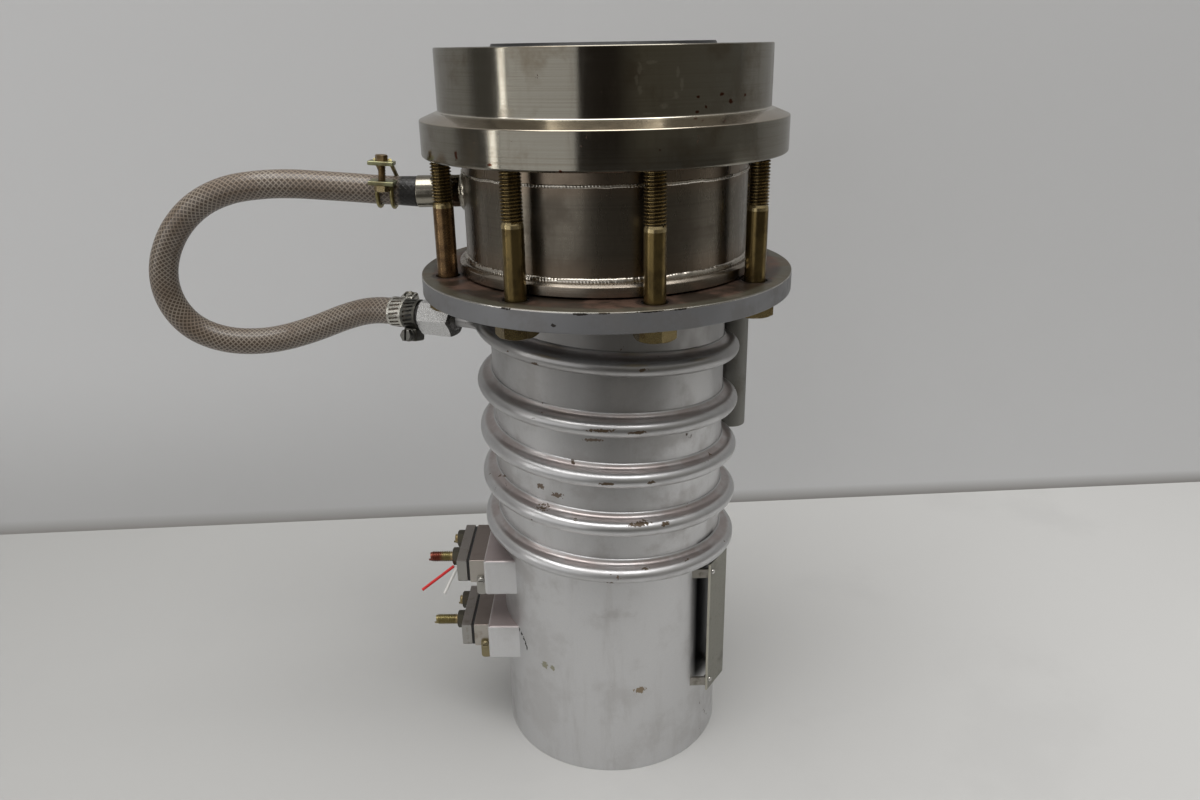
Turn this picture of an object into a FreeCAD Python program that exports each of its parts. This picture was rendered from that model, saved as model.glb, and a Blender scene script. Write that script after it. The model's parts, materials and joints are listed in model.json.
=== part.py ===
# Four-inch oil diffusion pump with a water-cooled baffle and an inlet adapter, in millimetres.
# The origin is the centre of the underside. +Z points up to the inlet, +Y to the fore-vacuum port,
# and the observer of the front stands on the -Y side.

import FreeCAD, Part
import math
import os
import Sketcher

V = FreeCAD.Vector
UP = V(0, 0, 1)

# Every driving dimension, written once. Lengths are in millimetres, angles in degrees.
# Angles in plan run anticlockwise from +X, seen from above.
SIZES = {
    # pump barrel, with the narrower boiler below its step
    "barrel_radius": 60.5,
    "barrel_wall": 3.0,
    "barrel_seat": 4.0,
    "step_base": 98.0,
    "step_thickness": 6.0,
    "boiler_inset": 6.5,
    "boiler_floor_base": 33.0,
    "boiler_floor_thickness": 6.0,
    # heater skirt below the step and what it holds
    "skirt_wall": 1.5,
    "window_front": 16.5,
    "window_width": 10.0,
    "window_height": 6.9,
    "cover_thickness": 1.5,
    "cover_gap": 0.1,
    "pad_gap": 0.3,
    "heater_gap": 0.1,
    "heater_thickness": 3.2,
    "heater_base": 42.0,
    "heater_height": 54.0,
    "heater_slit": 14.0,
    "heater_slit_angle": 195.0,
    # inlet flange on top of the barrel
    "flange_margin": 12.5,
    "flange_base": 258.9,
    "flange_thickness": 9.9,
    "flange_hole": 6.0,
    "bolt_room": 6.7,
    "bolt_count": 8,
    "first_bolt_angle": 15.0,
    "seal_margin": 3.0,
    "seal_width": 4.0,
    "seal_groove_width": 5.0,
    "seal_groove_depth": 3.0,
    # water-cooled baffle between the flange and the adapter
    "joint_gap": 1.0,
    "ring_ledge": 3.8,
    "ring_thickness": 5.7,
    "ring_chamfer": 1.3,
    "jacket_gap": 9.5,
    "shell_wall": 3.0,
    "shell_height": 49.3,
    "bore_step": 0.5,
    "inner_wall": 3.0,
    "louver_rise": 9.0,
    "louver_thickness": 2.0,
    "louver_hole": 31.0,
    "upper_louver_base": 303.0,
    "stop_radius": 38.0,
    "stop_base": 288.0,
    "strut_radius": 1.5,
    "strut_circle": 34.0,
    "strut_count": 3,
    # inlet adapter flange
    "disc_margin": 8.0,
    "disc_thickness": 16.6,
    "disc_slope": 3.6,
    "adapter_shoulder": 8.8,
    "adapter_height": 48.1,
    "inlet_bore": 41.5,
    "top_seal_radius": 51.5,
    "top_seal_width": 4.0,
    "top_groove_width": 5.0,
    "top_groove_depth": 2.8,
    "inlet_tap": 4.25,
    "inlet_tap_depth": 20.0,
    "inlet_tap_circle": 67.5,
    "inlet_tap_count": 4,
    "first_tap_angle": 45.0,
    # bolts that draw the adapter down on the flange
    "bolt_radius": 4.95,
    "bolt_tap": 5.0,
    "bolt_tap_depth": 15.2,
    "bolt_engagement": 14.1,
    "bolt_head_height": 6.5,
    "bolt_head_flats": 17.0,
    # water nipples of the baffle jacket
    "nipple_radius": 7.75,
    "nipple_level": 306.5,
    "nipple_inset": 0.5,
    "nipple_stand": 23.3,
    "barb_radius": 4.4,
    "barb_length": 17.0,
    "nipple_bore": 2.6,
    "supply_angle": 180.0,
    "return_angle": 82.5,
    # cooling coil soldered round the barrel
    "coil_tube": 4.0,
    "solder_foot": 5.5,
    "coil_crown": 1.5,
    "joint_angle": 90.0,
    "joint_level": 217.6,
    "upper_pitch": 34.4,
    "upper_sweep": 255.0,
    "lower_pitch": 26.2,
    "lower_sweep": 1365.0,
    "bend_radius": 16.0,
    "bend_angle": 53.3,
    "inlet_run": 12.5,
    "outlet_run": 46.0,
    # hexagonal hose fittings on both ends of the coil
    "fitting_flats": 17.0,
    "fitting_length": 18.4,
    "socket_depth": 6.0,
    "fitting_barb": 14.0,
    # hose from the coil to the baffle
    "hose_radius": 7.0,
    "arc_share": 0.45,
    # worm-drive clamps and the double-wire clamp on the hose ends
    "band_width": 8.6,
    "band_thickness": 0.8,
    "dark_band_offset": 5.6,
    "bright_band_offset": 14.8,
    "worm_radius": 2.6,
    "worm_clearance": 0.05,
    "worm_length": 9.0,
    "worm_head_radius": 3.4,
    "worm_head_height": 4.2,
    "housing_height": 7.0,
    "housing_width": 8.0,
    "housing_gap": 0.3,
    "screw_slot_width": 1.2,
    "screw_slot_depth": 1.6,
    "wire_thickness": 2.0,
    "wire_spacing": 7.0,
    "wire_clamp_offset": 14.7,
    "wire_tail_root": 5.0,
    "saddle_length": 12.5,
    "saddle_width": 6.6,
    "saddle_thickness": 2.0,
    "saddle_level": 4.2,
    "bridge_level": 13.6,
    "clamp_screw_radius": 1.9,
    "clamp_screw_flats": 5.6,
    "clamp_head_height": 2.8,
    "clamp_nut_height": 3.0,
    "clamp_nut_flats": 6.6,
    "clamp_nut_gap": 0.2,
    # pocket for the thermal switch, brazed upright on the coil
    "pocket_radius": 8.0,
    "pocket_wall": 1.5,
    "pocket_base": 168.5,
    "pocket_length": 78.0,
    "pocket_round": 1.0,
    "pocket_angle": 23.6,
    # fore-vacuum port
    "port_radius": 13.6,
    "port_wall": 1.6,
    "port_level": 120.0,
    "port_reach": 105.0,
    "port_flange_radius": 20.0,
    "port_flange_rim": 3.0,
    "port_flange_slope": 1.7,
    # jet assembly standing in the oil
    "jet_skirt_play": 3.0,
    "jet_wall": 1.5,
    "jet_chimney": 20.0,
    "jet_shoulder": 108.0,
    "jet_skirt_top": 128.0,
    "jet_cap_drop": 14.0,
    "jet_cap_slope": 6.0,
    "lower_cap_radius": 39.0,
    "middle_cap_radius": 33.0,
    "middle_chimney": 15.0,
    "middle_jet_top": 178.0,
    "top_cap_radius": 25.0,
    "top_chimney": 10.0,
    "top_jet_top": 224.0,
    "tie_rod_radius": 3.0,
    "tie_nut_flats": 10.0,
    "tie_nut_height": 5.0,
    "tie_rod_spare": 6.0,
    # electrical terminal units on the left of the skirt
    "unit_pitch": 41.0,
    "unit_base": 54.0,
    "block_stand": 7.5,
    "block_length": 24.0,
    "block_front": 33.0,
    "block_back": 10.0,
    "block_height": 21.0,
    "box_depth": 8.8,
    "box_front": 26.0,
    "box_back": 15.0,
    "box_height": 13.8,
    "box_rise": 3.8,
    "gasket_thickness": 1.2,
    "gasket_inset": 0.7,
    "end_plate_thickness": 5.5,
    "end_plate_round": 2.6,
    "stud_radius": 2.9,
    "stud_length": 16.5,
    "front_stud_place": -12.0,
    "rear_stud_place": 8.0,
    "rear_stud_length": 6.0,
    "stud_rise": 12.4,
    "stud_nut_flats": 8.5,
    "stud_nut_height": 4.0,
    "ground_screw_radius": 2.2,
    "ground_screw_height": 1.8,
    "ground_screw_margin": 0.4,
    "ground_lug_drop": 9.0,
    "ground_lug_width": 5.0,
    "ground_lug_thickness": 0.9,
    "lead_radius": 0.8,
    # rating plate on its straps
    "plate_angle": -32.0,
    "plate_stand": 6.5,
    "plate_thickness": 1.0,
    "plate_width": 20.5,
    "plate_shift": 1.1,
    "plate_base": 39.1,
    "plate_height": 79.1,
    "strap_thickness": 1.4,
    "strap_height": 5.0,
    "strap_inset": 3.0,
    "near_foot_angle": -45.5,
    "far_foot_angle": -21.0,
    "rivet_radius": 1.5,
    "rivet_height": 0.9,
    "rivet_inset": 3.4,
}

doc = FreeCAD.newDocument("diffusion_pump")
sheet = doc.addObject("Spreadsheet::Sheet", "Sizes")
for row, (name, number) in enumerate(SIZES.items(), 1):
    sheet.set(f"A{row}", name)
    sheet.set(f"B{row}", str(number))
    sheet.setAlias(f"B{row}", name)
doc.recompute()


def amount(expression):
    """Work out a sum of named sizes, such as 'flange_base + flange_thickness / 2'."""
    total, term, sign, operator = 0.0, 1.0, 1.0, "*"
    for word in expression.split():
        if word in "+-":
            total += sign * term
            sign = 1.0 if word == "+" else -1.0
            term, operator = 1.0, "*"
        elif word in "*/":
            operator = word
        else:
            number = float(sheet.get(word)) if word in SIZES else float(word)
            term = term * number if operator == "*" else term / number
    return total + sign * term


def bind(item, path, expression):
    """Tie a property to the sheet."""
    words = [f"Sizes.{word}" if word in SIZES else word for word in expression.split()]
    item.setExpression(path, " ".join(words))


def ray(angle):
    """Unit vector in plan at an angle in degrees."""
    turn = math.radians(angle)
    return V(math.cos(turn), math.sin(turn), 0)


def new_body(name):
    return doc.addObject("PartDesign::Body", name)


def own(body, role):
    """The body's own origin plane or axis."""
    return next(item for item in body.Origin.OriginFeatures if item.Role == role)


def outline(body, role, corners, name="Outline"):
    """Sketch a closed outline whose corners are pairs of expressions."""
    sketch = body.newObject("Sketcher::SketchObject", name)
    sketch.AttachmentSupport = [(own(body, role), "")]
    sketch.MapMode = "FlatFace"
    points = [V(amount(across), amount(up), 0) for across, up in corners]
    count = len(points)
    for index in range(count):
        sketch.addGeometry(Part.LineSegment(points[index], points[(index + 1) % count]), False)
    for index in range(count):
        sketch.addConstraint(Sketcher.Constraint("Coincident", index, 2, (index + 1) % count, 1))
    for index, pair in enumerate(corners):
        for kind, axis, expression in zip(("DistanceX", "DistanceY"), (-2, -1), pair):
            if expression == "0":
                sketch.addConstraint(Sketcher.Constraint("PointOnObject", index, 1, axis))
                continue
            place = sketch.addConstraint(
                Sketcher.Constraint(kind, -1, 1, index, 1, amount(expression)))
            bind(sketch, f"Constraints[{place}]", expression)
    return sketch


def turned(name, corners):
    """A piece turned about its own Z axis: corners are (radius, height) pairs."""
    body = new_body(name)
    sketch = outline(body, "XZ_Plane", corners)
    turning = body.newObject("PartDesign::Revolution", "Turning")
    turning.Profile = sketch
    turning.ReferenceAxis = (sketch, ["V_Axis"])
    turning.Angle = 360
    return body


def ring_of_holes(body, radius, circle, level, depth, count, first_angle, upward=False):
    """Drill a circle of holes into a body, from a level up or down."""
    doc.recompute()
    before = body.Shape.Volume
    sketch = body.newObject("Sketcher::SketchObject", "Hole")
    sketch.AttachmentSupport = [(own(body, "XY_Plane"), "")]
    sketch.MapMode = "FlatFace"
    sketch.AttachmentOffset = FreeCAD.Placement(
        V(0, 0, amount(level)), FreeCAD.Rotation(UP, amount(first_angle)))
    bind(sketch, "AttachmentOffset.Base.z", level)
    bind(sketch, "AttachmentOffset.Rotation.Angle", first_angle)
    sketch.addGeometry(Part.Circle(V(amount(circle), 0, 0), UP, amount(radius)), False)
    sketch.addConstraint(Sketcher.Constraint("PointOnObject", 0, 3, -1))
    place = sketch.addConstraint(Sketcher.Constraint("DistanceX", -1, 1, 0, 3, amount(circle)))
    bind(sketch, f"Constraints[{place}]", circle)
    place = sketch.addConstraint(Sketcher.Constraint("Radius", 0, amount(radius)))
    bind(sketch, f"Constraints[{place}]", radius)
    pocket = body.newObject("PartDesign::Pocket", "Drilling")
    pocket.Profile = sketch
    pocket.Type = "Length"
    pocket.Reversed = upward
    bind(pocket, "Length", depth)
    ring = body.newObject("PartDesign::PolarPattern", "HoleRing")
    ring.Originals = [pocket]
    ring.Axis = (sketch, ["N_Axis"])
    ring.Angle = 360
    bind(ring, "Occurrences", count)
    body.Tip = ring
    doc.recompute()
    drilled = amount(count) * math.pi * amount(radius) ** 2 * amount(depth)
    if abs(before - body.Shape.Volume - drilled) > 0.01 * drilled:
        raise RuntimeError(f"the holes in {body.Name} missed the metal")


def cylinder(name, radius, height, x="0", y="0", z="0", rotation=None):
    """A round bar whose base centre and size are tied to the sheet."""
    bar = doc.addObject("Part::Cylinder", name)
    bar.Placement = FreeCAD.Placement(V(amount(x), amount(y), amount(z)),
                                      rotation or FreeCAD.Rotation())
    bind(bar, "Radius", radius)
    bind(bar, "Height", height)
    for axis, expression in zip("xyz", (x, y, z)):
        bind(bar, f"Placement.Base.{axis}", expression)
    return bar


def box(name, length, width, height, x, y, z):
    """A block whose low corner and size are tied to the sheet."""
    block = doc.addObject("Part::Box", name)
    for side, expression in zip(("Length", "Width", "Height"), (length, width, height)):
        bind(block, side, expression)
    for axis, expression in zip("xyz", (x, y, z)):
        bind(block, f"Placement.Base.{axis}", expression)
    return block


def hexagon(name, flats, height, z="0"):
    """A hexagonal bar standing on its own Z axis."""
    bar = doc.addObject("Part::Prism", name)
    bar.Polygon = 6
    bind(bar, "Circumradius", f"{flats} / 1.7320508")
    bind(bar, "Height", height)
    bind(bar, "Placement.Base.z", z)
    return bar


def cut(name, base, tool):
    piece = doc.addObject("Part::Cut", name)
    piece.Base = base
    piece.Tool = tool
    return piece


def fuse(name, shapes):
    piece = doc.addObject("Part::MultiFuse", name)
    piece.Shapes = shapes
    return piece


def feature(name, shape, placement=None):
    """A piece set with the geometry kernel, from sizes read from the sheet."""
    piece = doc.addObject("Part::Feature", name)
    piece.Shape = shape
    if placement:
        piece.Placement = placement
    return piece


NODES = {}


def keep(node, item):
    """Name a finished piece for its file."""
    item.Label = node
    NODES[node] = item
    return item


# Radii that follow from the barrel's, from its bore outwards to the rims of the flanges.
BOILER_RADIUS = "barrel_radius - boiler_inset"
COIL_RADIUS = "barrel_radius + coil_tube"
BLOCK_FACE = "barrel_radius + block_stand"
BLOCK_LEFT = "0 - barrel_radius - block_stand"
END_PLATE_LEFT = BLOCK_LEFT + " - box_depth - gasket_thickness - end_plate_thickness"
SEAL_RADIUS = "barrel_radius + seal_margin"
INNER_RADIUS = "barrel_radius - barrel_wall - bore_step"
SHELL_RADIUS = INNER_RADIUS + " + jacket_gap + shell_wall"
RING_RADIUS = SHELL_RADIUS + " + ring_ledge"
BOLT_CIRCLE = RING_RADIUS + " + bolt_room"
FLANGE_RADIUS = BOLT_CIRCLE + " + flange_margin"
DISC_RADIUS = BOLT_CIRCLE + " + disc_margin"
NIPPLE_REACH = SHELL_RADIUS + " + nipple_stand"

# Levels of the baffle, which the pieces above the flange stand on.
FLANGE_TOP = "flange_base + flange_thickness"
RING_BASE = FLANGE_TOP + " + joint_gap"
RING_TOP = RING_BASE + " + ring_thickness"
DISC_BASE = RING_TOP + " + shell_height"
ADAPTER_TOP = DISC_BASE + " + adapter_height"
BARREL_TOP = "flange_base + barrel_seat"
BOLT_LENGTH = "flange_thickness + joint_gap + ring_thickness + shell_height + bolt_engagement"


# Barrel: one vessel, full bore above the step and a narrower boiler cup below it.
def make_barrel():
    bore = "barrel_radius - barrel_wall"
    inner = BOILER_RADIUS + " - barrel_wall"
    vessel = turned("BarrelVessel", [
        ("0", "boiler_floor_base"),
        (BOILER_RADIUS, "boiler_floor_base"),
        (BOILER_RADIUS, "step_base"),
        ("barrel_radius", "step_base"),
        ("barrel_radius", BARREL_TOP),
        (bore, BARREL_TOP),
        (bore, "step_base + step_thickness"),
        (inner, "step_base + step_thickness"),
        (inner, "boiler_floor_base + boiler_floor_thickness"),
        ("0", "boiler_floor_base + boiler_floor_thickness"),
    ])
    hole = cylinder("PortHole", "port_radius", "port_reach", z="port_level",
                    rotation=FreeCAD.Rotation(UP, V(0, 1, 0)))
    keep("barrel", cut("Barrel", vessel, hole))


# Heater skirt: a thin tube that carries the barrel's outside on down to the floor, with a
# window behind each terminal unit.
def make_skirt():
    tube = turned("SkirtTube", [
        ("barrel_radius - skirt_wall", "0"),
        ("barrel_radius", "0"),
        ("barrel_radius", "step_base"),
        ("barrel_radius - skirt_wall", "step_base"),
    ])
    windows = []
    for index in range(2):
        windows.append(box(
            f"Window{index}", "block_length", "window_width", "window_height",
            BLOCK_LEFT, "0 - window_front", f"unit_base + {index} * unit_pitch"))
    opened = cut("LowerOpened", tube, windows[0])
    keep("heater_skirt", cut("HeaterSkirt", opened, windows[1]))
    keep("base_cover", turned("BaseCover", [
        ("0", "0"),
        ("barrel_radius - skirt_wall - cover_gap", "0"),
        ("barrel_radius - skirt_wall - cover_gap", "cover_thickness"),
        ("0", "cover_thickness"),
    ]))
    keep("insulation_pad", turned("InsulationPad", [
        ("0", "cover_thickness"),
        (BOILER_RADIUS, "cover_thickness"),
        (BOILER_RADIUS, "boiler_floor_base - pad_gap"),
        ("0", "boiler_floor_base - pad_gap"),
    ]))


# Band heater: a split ring clamped round the boiler, open towards the terminals.
def make_heater():
    inner = BOILER_RADIUS + " + heater_gap"
    ring = turned("HeaterRing", [
        (inner, "heater_base"),
        (inner + " + heater_thickness", "heater_base"),
        (inner + " + heater_thickness", "heater_base + heater_height"),
        (inner, "heater_base + heater_height"),
    ])
    slit = box("HeaterSlit", "barrel_radius", "heater_slit", "heater_height",
               "0", "0", "heater_base")
    angle = amount("heater_slit_angle")
    slit.Placement.Rotation = FreeCAD.Rotation(UP, angle)
    keep("band_heater", cut("BandHeater", ring, slit))


# Inlet flange: socketed over the barrel, with the groove for the lower seal in its face.
def make_flange():
    bore = "barrel_radius - barrel_wall"
    groove_in = SEAL_RADIUS + " - seal_groove_width / 2"
    groove_out = SEAL_RADIUS + " + seal_groove_width / 2"
    floor = FLANGE_TOP + " - seal_groove_depth"
    body = turned("InletFlange", [
        (bore, BARREL_TOP),
        ("barrel_radius", BARREL_TOP),
        ("barrel_radius", "flange_base"),
        (FLANGE_RADIUS, "flange_base"),
        (FLANGE_RADIUS, FLANGE_TOP),
        (groove_out, FLANGE_TOP),
        (groove_out, floor),
        (groove_in, floor),
        (groove_in, FLANGE_TOP),
        (bore, FLANGE_TOP),
    ])
    ring_of_holes(body, "flange_hole", BOLT_CIRCLE, FLANGE_TOP, "flange_thickness",
                  "bolt_count", "first_bolt_angle")
    keep("inlet_flange", body)
    seal_in = SEAL_RADIUS + " - seal_width / 2"
    seal_out = SEAL_RADIUS + " + seal_width / 2"
    keep("lower_seal", turned("LowerSeal", [
        (seal_in, floor),
        (seal_out, floor),
        (seal_out, RING_BASE),
        (seal_in, RING_BASE),
    ]))


# Baffle: a cooled jacket of two tubes on a bottom ring, with louvers that hide the jets.
def make_baffle():
    keep("baffle_ring", turned("BaffleRing", [
        (INNER_RADIUS, RING_BASE),
        (RING_RADIUS, RING_BASE),
        (RING_RADIUS, RING_TOP + " - ring_chamfer"),
        (RING_RADIUS + " - ring_chamfer", RING_TOP),
        (INNER_RADIUS, RING_TOP),
    ]))
    shell = turned("ShellTube", [
        (SHELL_RADIUS + " - shell_wall", RING_TOP),
        (SHELL_RADIUS, RING_TOP),
        (SHELL_RADIUS, DISC_BASE),
        (SHELL_RADIUS + " - shell_wall", DISC_BASE),
    ])
    holes = []
    for angle in ("supply_angle", "return_angle"):
        hole = cylinder("NippleHole", "nipple_radius", NIPPLE_REACH, z="nipple_level",
                        rotation=FreeCAD.Rotation(UP, ray(amount(angle))))
        holes.append(hole)
    supplied = cut("ShellSupplied", shell, holes[0])
    keep("baffle_shell", cut("BaffleShell", supplied, holes[1]))
    keep("baffle_inner_tube", turned("BaffleInnerTube", [
        (INNER_RADIUS + " - inner_wall", RING_BASE),
        (INNER_RADIUS, RING_BASE),
        (INNER_RADIUS, DISC_BASE),
        (INNER_RADIUS + " - inner_wall", DISC_BASE),
    ]))
    wall = INNER_RADIUS + " - inner_wall"
    keep("baffle_louver", turned("BaffleLouver", [
        ("louver_hole", "upper_louver_base + louver_rise"),
        (wall, "upper_louver_base"),
        (wall, "upper_louver_base + louver_thickness"),
        ("louver_hole", "upper_louver_base + louver_rise + louver_thickness"),
    ]))
    keep("baffle_stop_plate", turned("BaffleStopPlate", [
        ("0", "stop_base"),
        ("stop_radius", "stop_base"),
        ("stop_radius", "stop_base + louver_thickness"),
        ("0", "stop_base + louver_thickness"),
    ]))


# Struts: short rods that hang the stop plate from the louver.
def make_struts():
    circle = amount("strut_circle")
    radius = amount("strut_radius")
    louver = NODES["baffle_louver"].Shape
    rods = []
    for index in range(int(amount("strut_count"))):
        place = ray(90 + index * 360 / amount("strut_count")) * circle
        low = amount("stop_base + louver_thickness")
        high = amount("upper_louver_base + louver_rise + louver_thickness")
        rod = Part.makeCylinder(radius, high - low, place + V(0, 0, low))
        pieces = rod.cut(louver).Solids
        rods.append(min(pieces, key=lambda solid: solid.CenterOfMass.z))
    keep("baffle_struts", feature("BaffleStruts", Part.makeCompound(rods)))


# Adapter flange: a bare machined disc with a stepped neck and the inlet's seal groove.
def make_adapter():
    groove_in = "top_seal_radius - top_groove_width / 2"
    groove_out = "top_seal_radius + top_groove_width / 2"
    floor = ADAPTER_TOP + " - top_groove_depth"
    body = turned("AdapterFlange", [
        ("inlet_bore", DISC_BASE),
        (DISC_RADIUS, DISC_BASE),
        (DISC_RADIUS, DISC_BASE + " + disc_thickness"),
        (DISC_RADIUS + " - adapter_shoulder", DISC_BASE + " + disc_thickness + disc_slope"),
        (DISC_RADIUS + " - adapter_shoulder", ADAPTER_TOP),
        (groove_out, ADAPTER_TOP),
        (groove_out, floor),
        (groove_in, floor),
        (groove_in, ADAPTER_TOP),
        ("inlet_bore", ADAPTER_TOP),
    ])
    ring_of_holes(body, "bolt_tap", BOLT_CIRCLE, DISC_BASE, "bolt_tap_depth",
                  "bolt_count", "first_bolt_angle", upward=True)
    ring_of_holes(body, "inlet_tap", "inlet_tap_circle", ADAPTER_TOP, "inlet_tap_depth",
                  "inlet_tap_count", "first_tap_angle")
    keep("adapter_flange", body)
    seal_in = "top_seal_radius - top_seal_width / 2"
    seal_out = "top_seal_radius + top_seal_width / 2"
    half = floor + " + top_seal_width / 2"
    keep("top_o_ring", turned("TopORing", [
        ("top_seal_radius - top_seal_width / 4", floor),
        ("top_seal_radius + top_seal_width / 4", floor),
        (seal_out, half),
        ("top_seal_radius + top_seal_width / 4", floor + " + top_seal_width"),
        ("top_seal_radius - top_seal_width / 4", floor + " + top_seal_width"),
        (seal_in, half),
    ]))


# Bolts: eight hexagon-head bolts, up through the flange into the adapter.
def make_bolts():
    head = hexagon("BoltHead", "bolt_head_flats", "bolt_head_height")
    bind(head, "Placement.Base.z", "0 - bolt_head_height")
    shank = cylinder("BoltShank", "bolt_radius", BOLT_LENGTH)
    bolt = fuse("Bolt", [head, shank])
    doc.recompute()
    ring = []
    for index in range(int(amount("bolt_count"))):
        angle = amount("first_bolt_angle") + index * 360 / amount("bolt_count")
        copy = bolt.Shape.copy()
        copy.rotate(V(), UP, angle)
        copy.translate(ray(angle) * amount(BOLT_CIRCLE) + V(0, 0, amount("flange_base")))
        ring.append(copy)
    keep("flange_bolts", feature("FlangeBolts", Part.makeCompound(ring)))


# Water nipples: welded into the jacket, each with a barb for the hose.
def nipple(node, angle):
    root = SHELL_RADIUS + " - shell_wall - nipple_inset"
    body = turned(node.title().replace("_", ""), [
        ("nipple_bore", root),
        ("nipple_radius", root),
        ("nipple_radius", NIPPLE_REACH),
        ("barb_radius", NIPPLE_REACH),
        ("barb_radius", NIPPLE_REACH + " + barb_length"),
        ("nipple_bore", NIPPLE_REACH + " + barb_length"),
    ])
    body.Placement = FreeCAD.Placement(V(), FreeCAD.Rotation(UP, ray(amount(angle))))
    bind(body, "Placement.Base.z", "nipple_level")
    keep(node, body)


# Coil: a round tube wound down the barrel on two pitches, bedded in solder, so its section
# is drawn with the solder's foot; both ends leave the barrel as plain tube.
def make_coil():
    body = new_body("CoilTurns")
    crown = COIL_RADIUS + " + coil_tube"
    section = outline(body, "XZ_Plane", [
        ("barrel_radius", "0 - solder_foot"),
        (COIL_RADIUS, "0 - coil_tube"),
        (crown, "0 - coil_crown"),
        (crown, "coil_crown"),
        (COIL_RADIUS, "coil_tube"),
        ("barrel_radius", "solder_foot"),
    ])
    for name, pitch, sweep, downward in (("UpperTurns", "upper_pitch", "upper_sweep", False),
                                         ("LowerTurns", "lower_pitch", "lower_sweep", True)):
        helix = body.newObject("PartDesign::AdditiveHelix", name)
        helix.Profile = section
        helix.ReferenceAxis = (own(body, "Z_Axis"), [""])
        helix.Mode = "pitch-height-angle"
        helix.LeftHanded = True
        helix.Reversed = downward
        bind(helix, "Pitch", pitch)
        bind(helix, "Height", f"{pitch} * {sweep} / 360")
    body.Placement = FreeCAD.Placement(V(), FreeCAD.Rotation(UP, amount("joint_angle")))
    bind(body, "Placement.Base.z", "joint_level")
    bind(body, "Placement.Rotation.Angle", "joint_angle")
    bend = doc.addObject("Part::Torus", "InletBend")
    bind(bend, "Radius1", "bend_radius")
    bind(bend, "Radius2", "coil_tube")
    bind(bend, "Angle3", "bend_angle")
    start = ray(coil_start_angle())
    centre = start * amount(COIL_RADIUS + " + bend_radius") + V(0, 0, coil_start_level())
    bend.Placement = FreeCAD.Placement(centre, FreeCAD.Rotation(UP, coil_start_angle() + 180))
    inlet = doc.addObject("Part::Cylinder", "InletRun")
    bind(inlet, "Radius", "coil_tube")
    bind(inlet, "Height", "inlet_run")
    inlet.Placement = inlet_frame()
    outlet = doc.addObject("Part::Cylinder", "OutletRun")
    bind(outlet, "Radius", "coil_tube")
    bind(outlet, "Height", "outlet_run")
    outlet.Placement = outlet_frame()
    keep("cooling_coil", fuse("CoolingCoil", [body, bend, inlet, outlet]))


def coil_start_angle():
    return amount("joint_angle - upper_sweep")


def coil_start_level():
    return amount("joint_level + upper_pitch * upper_sweep / 360")


def inlet_frame():
    """Where the coil's straight inlet run starts, its Z axis along the run."""
    start = coil_start_angle()
    centre = ray(start) * amount(COIL_RADIUS + " + bend_radius") + V(0, 0, coil_start_level())
    end = start + 180 + amount("bend_angle")
    return FreeCAD.Placement(centre + ray(end) * amount("bend_radius"),
                             FreeCAD.Rotation(UP, ray(end + 90)))


def outlet_frame():
    """Where the coil leaves the barrel at its lower end, its Z axis along the run."""
    angle = amount("joint_angle + lower_sweep")
    level = amount("joint_level - lower_pitch * lower_sweep / 360")
    return FreeCAD.Placement(ray(angle) * amount(COIL_RADIUS) + V(0, 0, level),
                             FreeCAD.Rotation(UP, ray(angle + 90)))


def along(frame, distance):
    """The frame moved along its own Z axis."""
    return FreeCAD.Placement(frame.multVec(V(0, 0, distance)), frame.Rotation)


# Hose fittings: hexagonal bodies soldered on the coil's two ends, each with a barb, and turned
# so that a flat lies on top.
FLAT_TURN = 30


def fitting(node, run_frame, run_length):
    body = hexagon(node + "_hexagon", "fitting_flats", "fitting_length")
    barb = cylinder(node + "_barb", "barb_radius", "fitting_length + fitting_barb")
    socket = cylinder(node + "_socket", "coil_tube", "socket_depth")
    whole = cut(node + "_turned", fuse(node + "_blank", [body, barb]), socket)
    doc.recompute()
    spin = FreeCAD.Placement(V(), FreeCAD.Rotation(UP, FLAT_TURN))
    place = along(run_frame, amount(run_length) - amount("socket_depth"))
    piece = feature(node + "_fitting", whole.Shape.copy())
    piece.Placement = place.multiply(spin)
    keep(node, piece)
    return place


# Hose: one length of clear braided hose in a loop, pushed over a barb at each end.
HOSE_ROUTE = [
    (-92.8, 0.0, 306.5), (-107.0, 0.0, 307.2), (-122.0, 0.2, 308.6), (-138.0, 0.0, 309.9),
    (-155.0, -0.2, 311.3), (-171.5, 0.2, 311.0), (-188.5, 0.6, 308.6), (-205.0, 1.6, 301.2),
    (-219.0, 2.9, 288.6), (-228.0, 4.4, 272.8), (-230.6, 5.8, 258.6), (-227.5, 7.6, 245.2),
    (-219.0, 9.7, 234.4), (-206.0, 12.7, 227.5), (-191.0, 15.9, 225.2), (-176.0, 18.6, 226.2),
    (-158.0, 19.5, 231.2), (-141.0, 18.2, 238.0), (-126.5, 15.2, 242.3), (-112.0, 9.9, 243.1),
]


def rounded_path(points):
    """Straight runs joined by tangent arcs, and the radius of each arc."""
    edges, radii = [], []
    start = points[0]
    for before, corner, after in zip(points, points[1:], points[2:]):
        back = (before - corner).normalize()
        ahead = (after - corner).normalize()
        half_turn = (math.pi - back.getAngle(ahead)) / 2
        short = min((before - corner).Length, (after - corner).Length)
        reach = amount("arc_share") * short
        radius = reach / math.tan(half_turn)
        inward = (back + ahead).normalize()
        middle = corner + inward * (radius / math.cos(half_turn) - radius)
        edges.append(Part.LineSegment(start, corner + back * reach).toShape())
        edges.append(Part.Arc(corner + back * reach, middle, corner + ahead * reach).toShape())
        radii.append(radius)
        start = corner + ahead * reach
    edges.append(Part.LineSegment(start, points[-1]).toShape())
    return Part.Wire(edges), radii


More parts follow.
